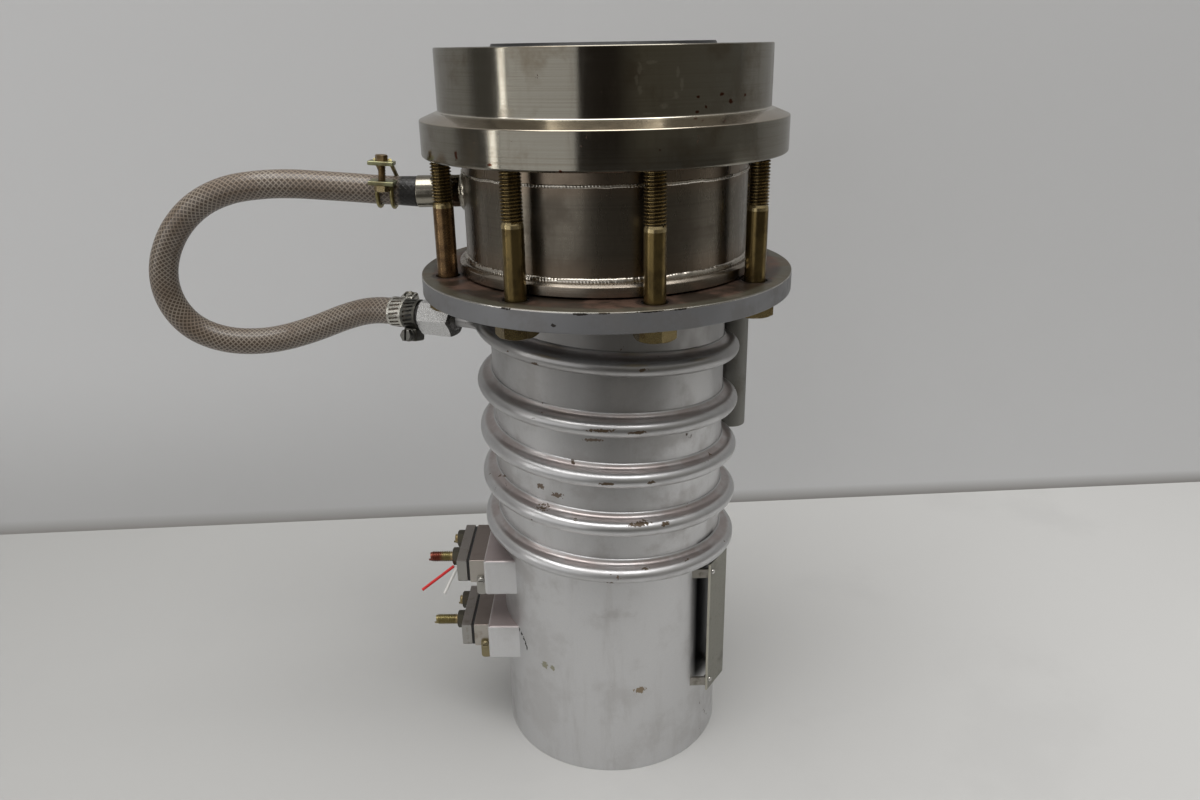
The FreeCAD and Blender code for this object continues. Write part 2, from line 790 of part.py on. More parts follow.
def make_hose(mouth):
    end = mouth.multVec(V(0, 0, amount("fitting_length")))
    points = [V(*point) for point in HOSE_ROUTE] + [end]
    path, radii = rounded_path(points)
    print("hose radii", [round(radius, 1) for radius in radii])
    ahead = (points[1] - points[0]).normalize()
    side = ahead.cross(UP).normalize()
    rise = side.cross(ahead)
    rim = []
    for corner in range(7):
        turn = math.radians(60 * corner)
        rim.append(points[0] + (side * math.cos(turn) + rise * math.sin(turn))
                   * amount("hose_radius"))
    solid = path.makePipeShell([Part.makePolygon(rim)], True, False, 0)
    section = 1.5 * math.sqrt(3) * amount("hose_radius") ** 2
    print("hose length", round(path.Length, 1),
          "volume ratio", round(solid.Volume / (section * path.Length), 4))
    hose = feature("HoseBlank", solid)
    supplied = cut("HoseOnNipple", hose, NODES["supply_nipple"])
    keep("hose", cut("Hose", supplied, NODES["coil_inlet_fitting"]))


def hose_station(points, distance):
    """The point and direction on the hose's route, a distance from its first point."""
    path, _ = rounded_path(points)
    left = distance
    for edge in path.Edges:
        if left <= edge.Length:
            place = edge.getParameterByLength(left)
            return edge.valueAt(place), edge.tangentAt(place)
        left -= edge.Length
    return points[-1], (points[-1] - points[-2]).normalize()


def clamp_frame(points, distance, upward):
    """A frame on the hose: Z along the hose, X towards the clamp's screw."""
    centre, direction = hose_station(points, distance)
    side = (upward - direction * upward.dot(direction)).normalize()
    return FreeCAD.Placement(centre, FreeCAD.Rotation(side, direction.cross(side), direction, "ZXY"))


# Worm-drive clamps: a slotted band round the hose, and a housing in which the worm screw
# turns. The screw lies across the hose, on the band.
def worm_clamp(prefix, frame):
    inner = amount("hose_radius")
    outer = amount("hose_radius + band_thickness")
    width = amount("band_width")
    worm = amount("worm_radius")
    play = amount("worm_clearance")
    length = amount("worm_length")
    wide = amount("housing_width")
    axis = outer + amount("housing_gap") + worm
    band = Part.makeCylinder(outer, width, V(0, 0, -width / 2))
    band = band.cut(Part.makeCylinder(inner, width, V(0, 0, -width / 2)))
    house = Part.makeBox(amount("housing_height"), length, wide, V(inner, -length / 2, -wide / 2))
    house = house.cut(Part.makeCylinder(outer, width, V(0, 0, -width / 2)))
    bore = Part.makeCylinder(worm + play, length, V(axis, -length / 2, 0), V(0, 1, 0))
    keep(prefix + "_clamp_band", feature(prefix.title() + "Band", band, frame))
    keep(prefix + "_clamp_housing", feature(prefix.title() + "Housing", house.cut(bore), frame))
    screw = Part.makeCylinder(worm, length, V(axis, -length / 2, 0), V(0, 1, 0))
    start = -length / 2 - play - amount("worm_head_height")
    head = Part.makeCylinder(amount("worm_head_radius"), amount("worm_head_height"),
                             V(axis, start, 0), V(0, 1, 0))
    neck = Part.makeCylinder(worm, play, V(axis, -length / 2 - play, 0), V(0, 1, 0))
    groove = amount("screw_slot_width")
    slot = Part.makeBox(2 * amount("worm_head_radius"), amount("screw_slot_depth"), groove,
                        V(axis - amount("worm_head_radius"), start, -groove / 2))
    whole = screw.fuse([neck, head]).removeSplitter().cut(slot)
    keep(prefix + "_clamp_screw", feature(prefix.title() + "Screw", whole, frame))
    centre = frame.multVec(V(axis, 0, 0))
    direction = frame.Rotation.multVec(V(0, 1, 0))
    print(prefix, "screw axis", [round(value, 4) for value in (*centre, *direction)])


# Double-wire clamp: two wire hoops whose tails are drawn down to a saddle by a long screw. The
# screw stands beside the hose, through the tails' bridge and the saddle, into a captive nut.
def wire_clamp(frame):
    inner = amount("hose_radius")
    wire = amount("wire_thickness")
    shaft = amount("clamp_screw_radius")
    play = amount("worm_clearance")
    flats = amount("clamp_nut_flats")
    axis = inner + wire + amount("clamp_nut_gap") + flats / 2
    low = amount("saddle_level")
    high = amount("bridge_level")
    thick = amount("saddle_thickness")
    long = amount("saddle_length")
    wide = amount("saddle_width")
    nut_low = low - amount("clamp_nut_height")
    bore = Part.makeCylinder(shaft + play, high + thick - nut_low, V(axis, nut_low, 0), V(0, 1, 0))
    hoops = []
    for shift in (-amount("wire_spacing") / 2, amount("wire_spacing") / 2):
        start = V(0, 0, shift - wire / 2)
        hoop = Part.makeCylinder(inner + wire, wire, start)
        tail_low = V(-amount("wire_tail_root"), inner - wire, 0) + start
        tail_high = V(axis - wide / 2, high, 0) + start
        rim = [tail_low, tail_high, tail_high + V(0, thick, 0), tail_low + V(0, thick, 0)]
        tail = Part.Face(Part.makePolygon(rim + rim[:1])).extrude(V(0, 0, wire))
        hoops.append(hoop.fuse(tail).cut(Part.makeCylinder(inner, wire, start)))
    keep("wire_clamp_hoops", feature("WireHoops", Part.makeCompound(hoops), frame))
    bridge = Part.makeBox(wide, thick, long, V(axis - wide / 2, high, -long / 2))
    keep("wire_clamp_bridge", feature("WireBridge", bridge.cut(bore), frame))
    saddle = Part.makeBox(axis + wide / 2, thick, long, V(0, low, -long / 2))
    saddle = saddle.cut(Part.makeCylinder(inner + wire, long, V(0, 0, -long / 2))).cut(bore)
    keep("wire_clamp_saddle", feature("WireSaddle", saddle, frame))
    head = hexagon("WireScrewHead", "clamp_screw_flats", "clamp_head_height")
    nut = hexagon("WireNutBlank", "clamp_nut_flats", "clamp_nut_height")
    doc.recompute()
    upright = FreeCAD.Rotation(V(1, 0, 0), -90)
    cap = head.Shape.copy()
    cap.Placement = FreeCAD.Placement(V(axis, high + thick + play, 0), upright)
    screw = Part.makeCylinder(shaft, high + thick + play - nut_low, V(axis, nut_low, 0),
                              V(0, 1, 0))
    keep("wire_clamp_screw", feature("WireScrew", screw.fuse(cap), frame))
    block = nut.Shape.copy()
    block.Placement = FreeCAD.Placement(V(axis, nut_low, 0), upright)
    keep("wire_clamp_nut", feature("WireNut", block.cut(bore), frame))
    centre = frame.multVec(V(axis, 0, 0))
    direction = frame.Rotation.multVec(V(0, 1, 0))
    print("wire screw axis", [round(value, 4) for value in (*centre, *direction)])


# The way each clamp's screw lies off the hose.
SCREW_SIDES = {"wire": V(0, -1, 0), "dark": V(0.2, -0.3, -1), "bright": V(0, 1, 0.3)}


def make_clamps(mouth):
    end = mouth.multVec(V(0, 0, amount("fitting_length")))
    points = [V(*point) for point in HOSE_ROUTE] + [end]
    whole = rounded_path(points)[0].Length
    wire_clamp(clamp_frame(points, amount("wire_clamp_offset"), SCREW_SIDES["wire"]))
    for prefix in ("dark", "bright"):
        place = whole - amount(f"{prefix}_band_offset")
        worm_clamp(prefix, clamp_frame(points, place, SCREW_SIDES[prefix]))


# Thermal-switch pocket: an open tube brazed upright across the outside of the coil, which the
# switch slides into from below.
def make_pocket():
    inner = "pocket_radius - pocket_wall"
    body = turned("SwitchPocket", [
        (inner, "0"),
        ("pocket_radius - pocket_round", "0"),
        ("pocket_radius", "pocket_round"),
        ("pocket_radius", "pocket_length"),
        (inner, "pocket_length"),
    ])
    place = ray(amount("pocket_angle")) * amount(COIL_RADIUS + " + coil_tube + pocket_radius")
    body.Placement = FreeCAD.Placement(place + V(0, 0, amount("pocket_base")), FreeCAD.Rotation())
    keep("switch_pocket", body)


# Fore-vacuum port: a stub tube through the barrel's back wall, ending in a clamp flange.
def make_port():
    bore = "port_radius - port_wall"
    tube = turned("PortTube", [
        (bore, "0"),
        ("port_radius", "0"),
        ("port_radius", "port_reach - port_flange_rim - port_flange_slope"),
        ("port_flange_radius", "port_reach - port_flange_rim"),
        ("port_flange_radius", "port_reach"),
        (bore, "port_reach"),
    ])
    tube.Placement = FreeCAD.Placement(V(), FreeCAD.Rotation(UP, V(0, 1, 0)))
    bind(tube, "Placement.Base.z", "port_level")
    bore_tool = cylinder("BarrelBore", "barrel_radius - barrel_wall", ADAPTER_TOP)
    keep("foreline_port", cut("ForelinePort", tube, bore_tool))


# Jets: three umbrella nozzles stacked on a flared skirt, held down by a tie rod.
def make_jets():
    floor = "boiler_floor_base + boiler_floor_thickness"
    thick = "jet_wall"
    skirt = BOILER_RADIUS + " - barrel_wall - jet_skirt_play"
    keep("jet_skirt", turned("JetSkirt", [
        (skirt + " - jet_wall", floor),
        (skirt, floor),
        (skirt, "jet_shoulder"),
        ("jet_chimney", "jet_shoulder"),
        ("jet_chimney", "jet_skirt_top"),
        ("jet_chimney - jet_wall", "jet_skirt_top"),
        ("jet_chimney - jet_wall", "jet_shoulder - jet_wall"),
        (skirt + " - jet_wall", "jet_shoulder - jet_wall"),
    ]))
    stages = (
        ("lower_jet", "jet_chimney", "jet_skirt_top", "lower_cap_radius",
         "middle_chimney", "middle_jet_top"),
        ("middle_jet", "middle_chimney", "middle_jet_top", "middle_cap_radius",
         "top_chimney", "top_jet_top"),
    )
    for node, below, base, cap, chimney, top in stages:
        brim = base + " + jet_cap_slope - jet_cap_drop"
        keep(node, turned(node.title().replace("_", ""), [
            (f"{below} - {thick}", base),
            (below, base),
            (cap, brim),
            (f"{cap} + {thick}", brim),
            (chimney, base + " + jet_cap_slope"),
            (chimney, top),
            (f"{chimney} - {thick}", top),
            (f"{chimney} - {thick}", base + " + jet_cap_slope"),
        ]))
    brim = "top_jet_top + jet_cap_slope - jet_cap_drop"
    keep("top_jet", turned("TopJet", [
        ("tie_rod_radius", "top_jet_top"),
        ("top_chimney", "top_jet_top"),
        ("top_cap_radius", brim),
        ("top_cap_radius + jet_wall", brim),
        ("top_chimney", "top_jet_top + jet_cap_slope"),
        ("tie_rod_radius", "top_jet_top + jet_cap_slope"),
    ]))
    nut_base = "top_jet_top + jet_cap_slope"
    keep("tie_rod", turned("TieRod", [
        ("0", floor),
        ("tie_rod_radius", floor),
        ("tie_rod_radius", nut_base + " + tie_nut_height + tie_rod_spare"),
        ("0", nut_base + " + tie_nut_height + tie_rod_spare"),
    ]))
    blank = hexagon("TieNutBlank", "tie_nut_flats", "tie_nut_height", nut_base)
    hole = cylinder("TieNutHole", "tie_rod_radius", "tie_nut_height", z=nut_base)
    keep("tie_nut", cut("TieNut", blank, hole))


# Terminal units: a painted block on the skirt, a steel box, a gasket and an end plate that
# carries the studs.
def terminal_unit(prefix, base):
    bottom = base + " + box_rise"
    width = "box_front + box_back"
    block = box(prefix + "Block", "block_length", "block_front + block_back",
                "block_height", BLOCK_LEFT, "0 - block_front", base)
    barrel = cylinder(prefix + "BarrelTool", "barrel_radius", ADAPTER_TOP)
    keep(prefix + "_terminal_block", cut(prefix + "Block_cut", block, barrel))
    keep(prefix + "_terminal_box", box(
        prefix + "Box", "box_depth", width, "box_height",
        BLOCK_LEFT + " - box_depth", "0 - box_front", bottom))
    keep(prefix + "_terminal_gasket", box(
        prefix + "Gasket", "gasket_thickness", width + " - 2 * gasket_inset",
        "box_height - 2 * gasket_inset", BLOCK_LEFT + " - box_depth - gasket_thickness",
        "gasket_inset - box_front", bottom + " + gasket_inset"))
    plate = box(prefix + "EndPlate", "end_plate_thickness", width, "box_height",
                END_PLATE_LEFT,
                "0 - box_front", bottom)
    doc.recompute()
    rounded = doc.addObject("Part::Fillet", prefix + "EndPlateRounded")
    rounded.Base = plate
    low_edges = []
    for number, edge in enumerate(plate.Shape.Edges, 1):
        middle = edge.CenterOfMass
        lengthwise = edge.BoundBox.XLength > amount("end_plate_thickness") / 2
        if lengthwise and middle.z < amount(bottom) + amount("end_plate_round"):
            low_edges.append((number, amount("end_plate_round"), amount("end_plate_round")))
    rounded.Edges = low_edges
    keep(prefix + "_terminal_end_plate", rounded)
    face = amount(END_PLATE_LEFT)
    level = amount(base + " + stud_rise")
    studs, nuts = [], []
    for place, length in (("front_stud_place", "stud_length"),
                          ("rear_stud_place", "rear_stud_length")):
        start = V(face, amount(place), level)
        studs.append(Part.makeCylinder(amount("stud_radius"), amount(length), start, V(-1, 0, 0)))
        nut = hexagon(prefix + place + "NutBlank", "stud_nut_flats", "stud_nut_height")
        doc.recompute()
        block = nut.Shape.copy()
        block.rotate(V(), V(0, 1, 0), -90)
        block.translate(start)
        nuts.append(block.cut(studs[-1]))
    keep(prefix + "_terminal_studs", feature(prefix + "Studs", Part.makeCompound(studs)))
    keep(prefix + "_terminal_nuts", feature(prefix + "Nuts", Part.makeCompound(nuts)))


# Earth screws: a pan-head screw on the front of each steel box, with a bent lug under it.
def make_ground_screws():
    screws, lugs = [], []
    for index in range(2):
        level = amount(f"unit_base + {index} * unit_pitch + box_rise + ground_screw_radius")
        place = amount(BLOCK_FACE + " + ground_screw_radius + ground_screw_margin")
        centre = V(-place, -amount("box_front"), level)
        thick = amount("ground_lug_thickness")
        width = amount("ground_lug_width")
        drop = amount("ground_lug_drop")
        lug = Part.makeBox(width, thick, drop + width / 2,
                           centre + V(-width / 2, -thick, -drop))
        screw = Part.makeCylinder(amount("ground_screw_radius"), amount("ground_screw_height"),
                                  centre + V(0, -thick, 0), V(0, -1, 0))
        screws.append(screw)
        lugs.append(lug)
    keep("earth_screws", feature("EarthScrews", Part.makeCompound(screws)))
    keep("earth_lugs", feature("EarthLugs", Part.makeCompound(lugs)))


# Cut-off leads: two short ends of wire left on the upper unit's front stud. Their ends are
# measured from the foot of its end plate.
LEAD_ROUTES = {
    "red_lead": [(-3.5, -15.4, 8.0), (-21.0, -21.0, -3.5)],
    "white_lead": [(-1.9, -15.6, 7.0), (-8.5, -22.5, -5.0)],
}


def make_leads():
    corner = V(amount(END_PLATE_LEFT), 0, amount("unit_base + unit_pitch"))
    for node, (start, end) in LEAD_ROUTES.items():
        run = V(*end) - V(*start)
        keep(node, feature(node.title().replace("_", ""), Part.makeCylinder(
            amount("lead_radius"), run.Length, corner + V(*start), run)))


# Rating plate: a flat plate riveted on two straps that stand off the barrel.
def make_plate():
    outward = ray(amount("plate_angle"))
    across = ray(amount("plate_angle") + 90)
    face = amount("barrel_radius + plate_stand")
    thick = amount("plate_thickness")
    half = amount("plate_width") / 2
    base = amount("plate_base")
    tall = amount("plate_height")
    frame = FreeCAD.Placement(outward * face + across * amount("plate_shift") + V(0, 0, base),
                              FreeCAD.Rotation(outward, across, UP, "ZXY"))
    plate = Part.makeBox(thick, 2 * half, tall, V(-thick, -half, 0))
    keep("rating_plate", feature("RatingPlate", plate, frame))
    strap_thick = amount("strap_thickness")
    height = amount("strap_height")
    back = -thick - strap_thick / 2
    barrel = Part.makeCylinder(amount("barrel_radius"), amount(ADAPTER_TOP))
    straps, rivets = [], []
    inset = amount("strap_inset")
    for low in (inset, tall - inset - height):
        corners = [ray(amount("near_foot_angle")) * (amount("barrel_radius") - strap_thick),
                   frame.multVec(V(back, -half + strap_thick / 2, 0)),
                   frame.multVec(V(back, half - strap_thick / 2, 0)),
                   ray(amount("far_foot_angle")) * (amount("barrel_radius") - strap_thick)]
        strips = []
        for start, end in zip(corners, corners[1:]):
            start, end = V(start.x, start.y, 0), V(end.x, end.y, 0)
            run = (end - start).normalize()
            side = UP.cross(run) * strap_thick / 2
            spare = run * strap_thick / 2
            rim = [start - spare - side, end + spare - side, end + spare + side,
                   start - spare + side]
            rim = [point + V(0, 0, base + low) for point in rim]
            strips.append(Part.Face(Part.makePolygon(rim + rim[:1])).extrude(V(0, 0, height)))
        strap = strips[0].fuse(strips[1:]).removeSplitter().cut(barrel)
        front = Part.makeBox(half, 4 * half, 2 * tall, V(-thick, -2 * half, -tall / 2))
        front.Placement = frame
        straps.append(strap.cut(front))
        rivets.append(Part.makeCylinder(amount("rivet_radius"), amount("rivet_height"),
                                        frame.multVec(V(0, -half + amount("rivet_inset"),
                                                        low + height / 2)), outward))
    keep("plate_straps", feature("PlateStraps", Part.makeCompound(straps)))
    keep("plate_rivets", feature("PlateRivets", Part.makeCompound(rivets)))


make_barrel()
make_skirt()
make_heater()
make_flange()
make_baffle()
make_adapter()
doc.recompute()
make_struts()
make_bolts()
nipple("supply_nipple", "supply_angle")
nipple("return_nipple", "return_angle")
make_coil()
hose_mouth = fitting("coil_inlet_fitting", inlet_frame(), "inlet_run")
fitting("coil_outlet_fitting", outlet_frame(), "outlet_run")
make_hose(hose_mouth)
make_clamps(hose_mouth)
make_pocket()
make_port()
make_jets()
terminal_unit("lower", "unit_base")
terminal_unit("upper", "unit_base + unit_pitch")
make_ground_screws()
make_leads()
make_plate()
doc.recompute()

for item in doc.Objects:
    if {"Invalid", "Error"} & set(item.State):
        raise RuntimeError(f"{item.Label} failed: {item.State}")
os.makedirs("parts", exist_ok=True)
for node, item in NODES.items():
    shape = item.Shape
    if shape.isNull() or not shape.isValid() or not shape.Solids:
        raise RuntimeError(f"{node} has no valid shape")
    shape.exportStep(f"parts/{node}.step")
print(len(NODES), "pieces")
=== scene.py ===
import json
import math

import bmesh
import bpy
from mathutils import Matrix, Vector, noise


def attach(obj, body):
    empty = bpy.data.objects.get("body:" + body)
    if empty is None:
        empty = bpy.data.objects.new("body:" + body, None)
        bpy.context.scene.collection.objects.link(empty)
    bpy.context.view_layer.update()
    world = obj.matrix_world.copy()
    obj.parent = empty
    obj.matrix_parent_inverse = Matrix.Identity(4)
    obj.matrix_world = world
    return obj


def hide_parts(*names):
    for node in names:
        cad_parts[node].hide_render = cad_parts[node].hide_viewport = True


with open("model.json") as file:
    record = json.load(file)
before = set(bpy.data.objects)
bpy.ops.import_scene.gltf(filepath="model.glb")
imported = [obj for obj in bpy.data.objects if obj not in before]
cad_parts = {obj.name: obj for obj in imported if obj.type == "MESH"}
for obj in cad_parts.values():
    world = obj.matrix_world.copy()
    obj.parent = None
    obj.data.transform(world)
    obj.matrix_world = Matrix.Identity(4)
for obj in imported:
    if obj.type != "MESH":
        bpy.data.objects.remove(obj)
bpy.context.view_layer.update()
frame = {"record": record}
scene = bpy.context.scene
scene.view_settings.view_transform = "Standard"
MM = 0.001

# The view: a camera level with the inlet and tipped down at the pump.
# Its slight turn and roll are those of a camera held by hand.
picture_width = 1200
focal_pixels = 939.2
sensor_width = 36.0
tip_down = math.radians(20.755)
turn_left = math.radians(-0.533)
roll = math.radians(-0.971)
camera_place = Vector((0, -470.85, 373.2)) * MM

level_ahead = Vector((math.sin(turn_left), math.cos(turn_left), 0))
ahead = level_ahead * math.cos(tip_down) - Vector((0, 0, math.sin(tip_down)))
level_right = Vector((math.cos(turn_left), -math.sin(turn_left), 0))
level_up = level_right.cross(ahead)
camera_right = level_right * math.cos(roll) + level_up * math.sin(roll)
camera_up = level_up * math.cos(roll) - level_right * math.sin(roll)
camera = bpy.data.objects.new("camera", bpy.data.cameras.new("camera"))
camera.data.sensor_width = sensor_width
camera.data.lens = sensor_width * focal_pixels / picture_width
camera.data.clip_start = 0.01
camera.data.clip_end = 20
facing = Matrix((camera_right, camera_up, -ahead)).transposed().to_4x4()
camera.matrix_world = Matrix.Translation(camera_place) @ facing
scene.collection.objects.link(camera)
scene.camera = camera


# Water hose: clear vinyl over a pale braid, aged to a pinkish brown, in one loop from coil to baffle.
# It is pushed over a barb at each end and stiff enough to keep its own curve in the air.
hose_radius = 7.0
hose_sides = 40
braid_threads = 16
braid_lead = 44.0
hose_end_swell = 0.35
hose_end_length = 9.0
hose_route = [
    (-92.8, 0.0, 306.5), (-107.0, 0.0, 307.2), (-122.0, 0.2, 308.6), (-138.0, 0.0, 309.9),
    (-155.0, -0.2, 311.3), (-171.5, 0.2, 311.0), (-188.5, 0.6, 308.6), (-205.0, 1.6, 301.2),
    (-218.6, 2.9, 288.6), (-227.4, 4.4, 272.8), (-229.8, 5.8, 258.6), (-226.9, 7.6, 245.2),
    (-219.0, 9.7, 234.4), (-206.0, 12.7, 227.5), (-191.0, 15.9, 225.2), (-176.0, 18.6, 226.2),
    (-158.0, 19.5, 231.2), (-141.0, 18.2, 238.0), (-126.5, 15.2, 242.3), (-112.0, 9.9, 243.1),
    (-94.97, 3.24, 241.97)]
vinyl_brown = (0.072, 0.050, 0.034)
vinyl_dark = (0.009, 0.0075, 0.006)
thread_pale = (0.285, 0.240, 0.192)
thread_stained = (0.225, 0.175, 0.13)


def new_object(name, shape, finish=None):
    """Puts a shape into the scene as an object."""
    mesh = bpy.data.meshes.new(name)
    shape.to_mesh(mesh)
    shape.free()
    if finish:
        mesh.materials.append(finish)
    made = bpy.data.objects.new(name, mesh)
    scene.collection.objects.link(made)
    return made


def place_piece(name, shape, finish, slot, *stands_for, body="pump", crease=20):
    """Makes a shape in millimetres a piece in metres that rides on a body and stands for its CAD nodes."""
    for edge in shape.edges:
        if len(edge.link_faces) == 2:
            edge.smooth = edge.calc_face_angle() < math.radians(crease)
    for face in shape.faces:
        face.smooth = True
    bmesh.ops.scale(shape, vec=(MM, MM, MM), verts=shape.verts)
    piece = new_object(name, shape, finish)
    piece.modifiers.new("even_shading", "WEIGHTED_NORMAL").keep_sharp = True
    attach(piece, body)
    if stands_for:
        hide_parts(*stands_for)
    return piece


def spline_points(route):
    """Points along the smooth line whose control points are the route, in millimetres."""
    curve = bpy.data.curves.new("route", "CURVE")
    curve.dimensions = "3D"
    line = curve.splines.new("NURBS")
    line.points.add(len(route) - 1)
    for point, place in zip(line.points, route):
        point.co = (*place, 1)
    line.order_u = 3
    line.use_endpoint_u = True
    line.resolution_u = 12
    holder = bpy.data.objects.new("route", curve)
    mesh = bpy.data.meshes.new_from_object(holder)
    points = [vertex.co.copy() for vertex in mesh.vertices]
    bpy.data.objects.remove(holder)
    return points


def sweep(points, radius, sides=12, swell=None):
    """A round rod along points: a circle square to the line, extruded from one point to the next."""
    shape = bmesh.new()
    along_layer = shape.verts.layers.float.new("along")
    around_layer = shape.verts.layers.float_vector.new("around")
    ring = bmesh.ops.create_circle(shape, segments=sides, radius=1, cap_ends=True)["verts"]
    edges = shape.edges[:]
    turn_of = {vertex: index for index, vertex in enumerate(ring)}
    base = [vertex.co.copy() for vertex in ring]
    tangent = (points[1] - points[0]).normalized()
    rotation = tangent.to_track_quat("Z", "Y")
    distance = 0.0
    for index, point in enumerate(points):
        if index:
            fresh = bmesh.ops.extrude_edge_only(shape, edges=edges)["geom"]
            new_ring = {}
            for vertex in corners_in(fresh):
                partners = (edge.other_vert(vertex) for edge in vertex.link_edges)
                new_ring[vertex] = turn_of[next(partner for partner in partners if partner in turn_of)]
            edges = [edge for edge in edges_in(fresh) if all(vertex in new_ring for vertex in edge.verts)]
            turn_of = new_ring
            distance += (point - points[index - 1]).length
        before = points[max(index - 1, 0)]
        after = points[min(index + 1, len(points) - 1)]
        heading = (after - before).normalized()
        rotation = tangent.rotation_difference(heading) @ rotation
        tangent = heading
        size = radius + (swell(distance) if swell else 0)
        for vertex, number in turn_of.items():
            vertex.co = point + rotation @ base[number] * size
            vertex[along_layer] = distance
            vertex[around_layer] = (base[number].x, base[number].y, 0)
    bmesh.ops.contextual_create(shape, geom=list(turn_of))
    bmesh.ops.recalc_face_normals(shape, faces=shape.faces)
    return shape


def corners_in(items):
    """The corners among some parts of a shape."""
    return [item for item in items if isinstance(item, bmesh.types.BMVert)]


def edges_in(items):
    """The edges among some parts of a shape."""
    return [item for item in items if isinstance(item, bmesh.types.BMEdge)]


class Signal:
    """What a shader node gives out. Sums and products with it add the Math nodes that work them out."""

    def __init__(self, socket):
        self.socket = socket
        self.tree = socket.id_data

    def __add__(self, other):
        return work_out("ADD", self, other)

    def __sub__(self, other):
        return work_out("SUBTRACT", self, other)

    def __rsub__(self, other):
        return work_out("SUBTRACT", other, self)

    def __mul__(self, other):
        return work_out("MULTIPLY", self, other)

    def __truediv__(self, other):
        return work_out("DIVIDE", self, other)

    def __rtruediv__(self, other):
        return work_out("DIVIDE", other, self)


def feed(node, inputs):
    """Sets a node's inputs, by name or number, to values or to the signals that feed them."""
    for key, value in inputs.items():
        if isinstance(value, Signal):
            node.id_data.links.new(value.socket, node.inputs[key])
        elif node.inputs[key].type == "RGBA":
            node.inputs[key].default_value = (*value, 1)
        else:
            node.inputs[key].default_value = value


def add_node(tree, kind, inputs=None, output=0, **settings):
    """Adds a shader node with its settings and inputs, and gives what comes out of it."""
    made = tree.nodes.new("ShaderNode" + kind)
    for key, value in settings.items():
        setattr(made, key, value)
    feed(made, inputs or {})
    return Signal(made.outputs[output])


def tree_of(*items):
    """The tree of the first signal among some signals, numbers and colours."""
    return next(item.tree for item in items if isinstance(item, Signal))


def work_out(operation, *items):
    """One step of arithmetic between signals and numbers."""
    return add_node(tree_of(*items), "Math", dict(enumerate(items)), operation=operation)


def blend(share, first, second):
    """Mixes two colours by a share from 0 to 1."""
    inputs = {0: share, 6: first, 7: second}
    return add_node(tree_of(*inputs.values()), "Mix", inputs, 2, data_type="RGBA")


def slope(value, low, high, kind="LINEAR"):
    """A straight rise from 0 at low to 1 at high."""
    return add_node(value.tree, "MapRange", {"Value": value, "From Min": low, "From Max": high},
                    interpolation_type=kind)


def ramp(value, low, high):
    """A smooth step from 0 at low to 1 at high."""
    return slope(value, low, high, "SMOOTHSTEP")


def clouds(place, scale, detail, roughness=0.5):
    """Soft noise of a given scale."""
    return add_node(place.tree, "TexNoise", {
        "Vector": place, "Scale": scale, "Detail": detail, "Roughness": roughness}, "Fac")


def bump(height, strength, depth):
    """A relief whose height follows a signal."""
    return add_node(height.tree, "Bump", {"Height": height, "Strength": strength, "Distance": depth})


def parts_of(vector):
    """The three parts of a vector."""
    made = vector.tree.nodes.new("ShaderNodeSeparateXYZ")
    feed(made, {0: vector})
    return [Signal(socket) for socket in made.outputs]


def new_finish(name):
    """A material, its shader, and the place of each point of the piece."""
    finish = bpy.data.materials.new(name)
    finish.use_nodes = True
    tree = finish.node_tree
    return finish, tree.nodes["Principled BSDF"], add_node(tree, "TexCoord", None, "Object")


def new_effect(name, *numbers):
    """A shader node group for an effect that several finishes share, and the signals that come into it."""
    group = bpy.data.node_groups.new(name, "ShaderNodeTree")
    for label in ("Place", *numbers):
        kind = "NodeSocketVector" if label in ("Place", "Centre") else "NodeSocketFloat"
        group.interface.new_socket(name=label, in_out="INPUT", socket_type=kind)
    asked = group.nodes.new("NodeGroupInput").outputs[:len(numbers) + 1]
    return group, *[Signal(socket) for socket in asked]


def gives(group, label, value):
    """Names what an effect gives out and ties it to the signal for it."""
    group.interface.new_socket(name=label, in_out="OUTPUT", socket_type="NodeSocketFloat")
    feed(group.nodes.new("NodeGroupOutput"), {label: value})


def effect(group, place, *values):
    """Lays a shared effect on a finish, with values of its own in the order of the group's inputs."""
    made = place.tree.nodes.new("ShaderNodeGroup")
    made.node_tree = group
    feed(made, dict(enumerate((place, *values))))
    return Signal(made.outputs[0])


# Stains: soft clouds of dirt, as wide as Size and covering a Share of the surface.
stains, place, size, share = new_effect("stains", "Size", "Share")
low = 0.72 - share * 0.4
gives(stains, "Mask", ramp(clouds(place, 1.0 / size, 6.0, 0.62), low, low + 0.16))

hose_line = spline_points(hose_route)
hose_length = sum((b - a).length for a, b in zip(hose_line, hose_line[1:]))


def hose_swell(distance):
    """The hose stands out a little where it is stretched over a barb."""
    near_end = min(distance, hose_length - distance)
    return hose_end_swell * max(0.0, 1 - near_end / hose_end_length)


hose_finish, shader, place = new_finish("braided_vinyl")
out_x, out_y, unused = parts_of(add_node(place.tree, "Attribute", None, "Vector", attribute_name="around"))
along = add_node(place.tree, "Attribute", None, "Fac", attribute_name="along")
turns = work_out("ARCTAN2", out_y, out_x) / (2 * math.pi)
threads = []
for way in (1.0, -1.0):
    wave = work_out("COSINE", (along / braid_lead * way + turns) * (2 * math.pi * braid_threads))
    threads.append(work_out("SMOOTH_MAX", wave, -0.2, 0.5))
weave = ramp(work_out("MAXIMUM", *threads), 0.25, 0.95)
end_dark = ramp(work_out("MINIMUM", along, hose_length - along), 7.0, 10.0)
thread_colour = blend(effect(stains, place, 0.022, 0.75), thread_pale, thread_stained)
feed(shader, {
    "Base Color": blend(end_dark, vinyl_dark, blend(weave, vinyl_brown, thread_colour)), "Roughness": 0.42,
    "Coat Weight": end_dark * 0.5 + 0.05, "Coat Roughness": 0.16, "Coat IOR": 1.5,
    "Normal": bump(weave, 0.35, 0.0006)})
hose = sweep(hose_line, hose_radius, hose_sides, hose_swell)
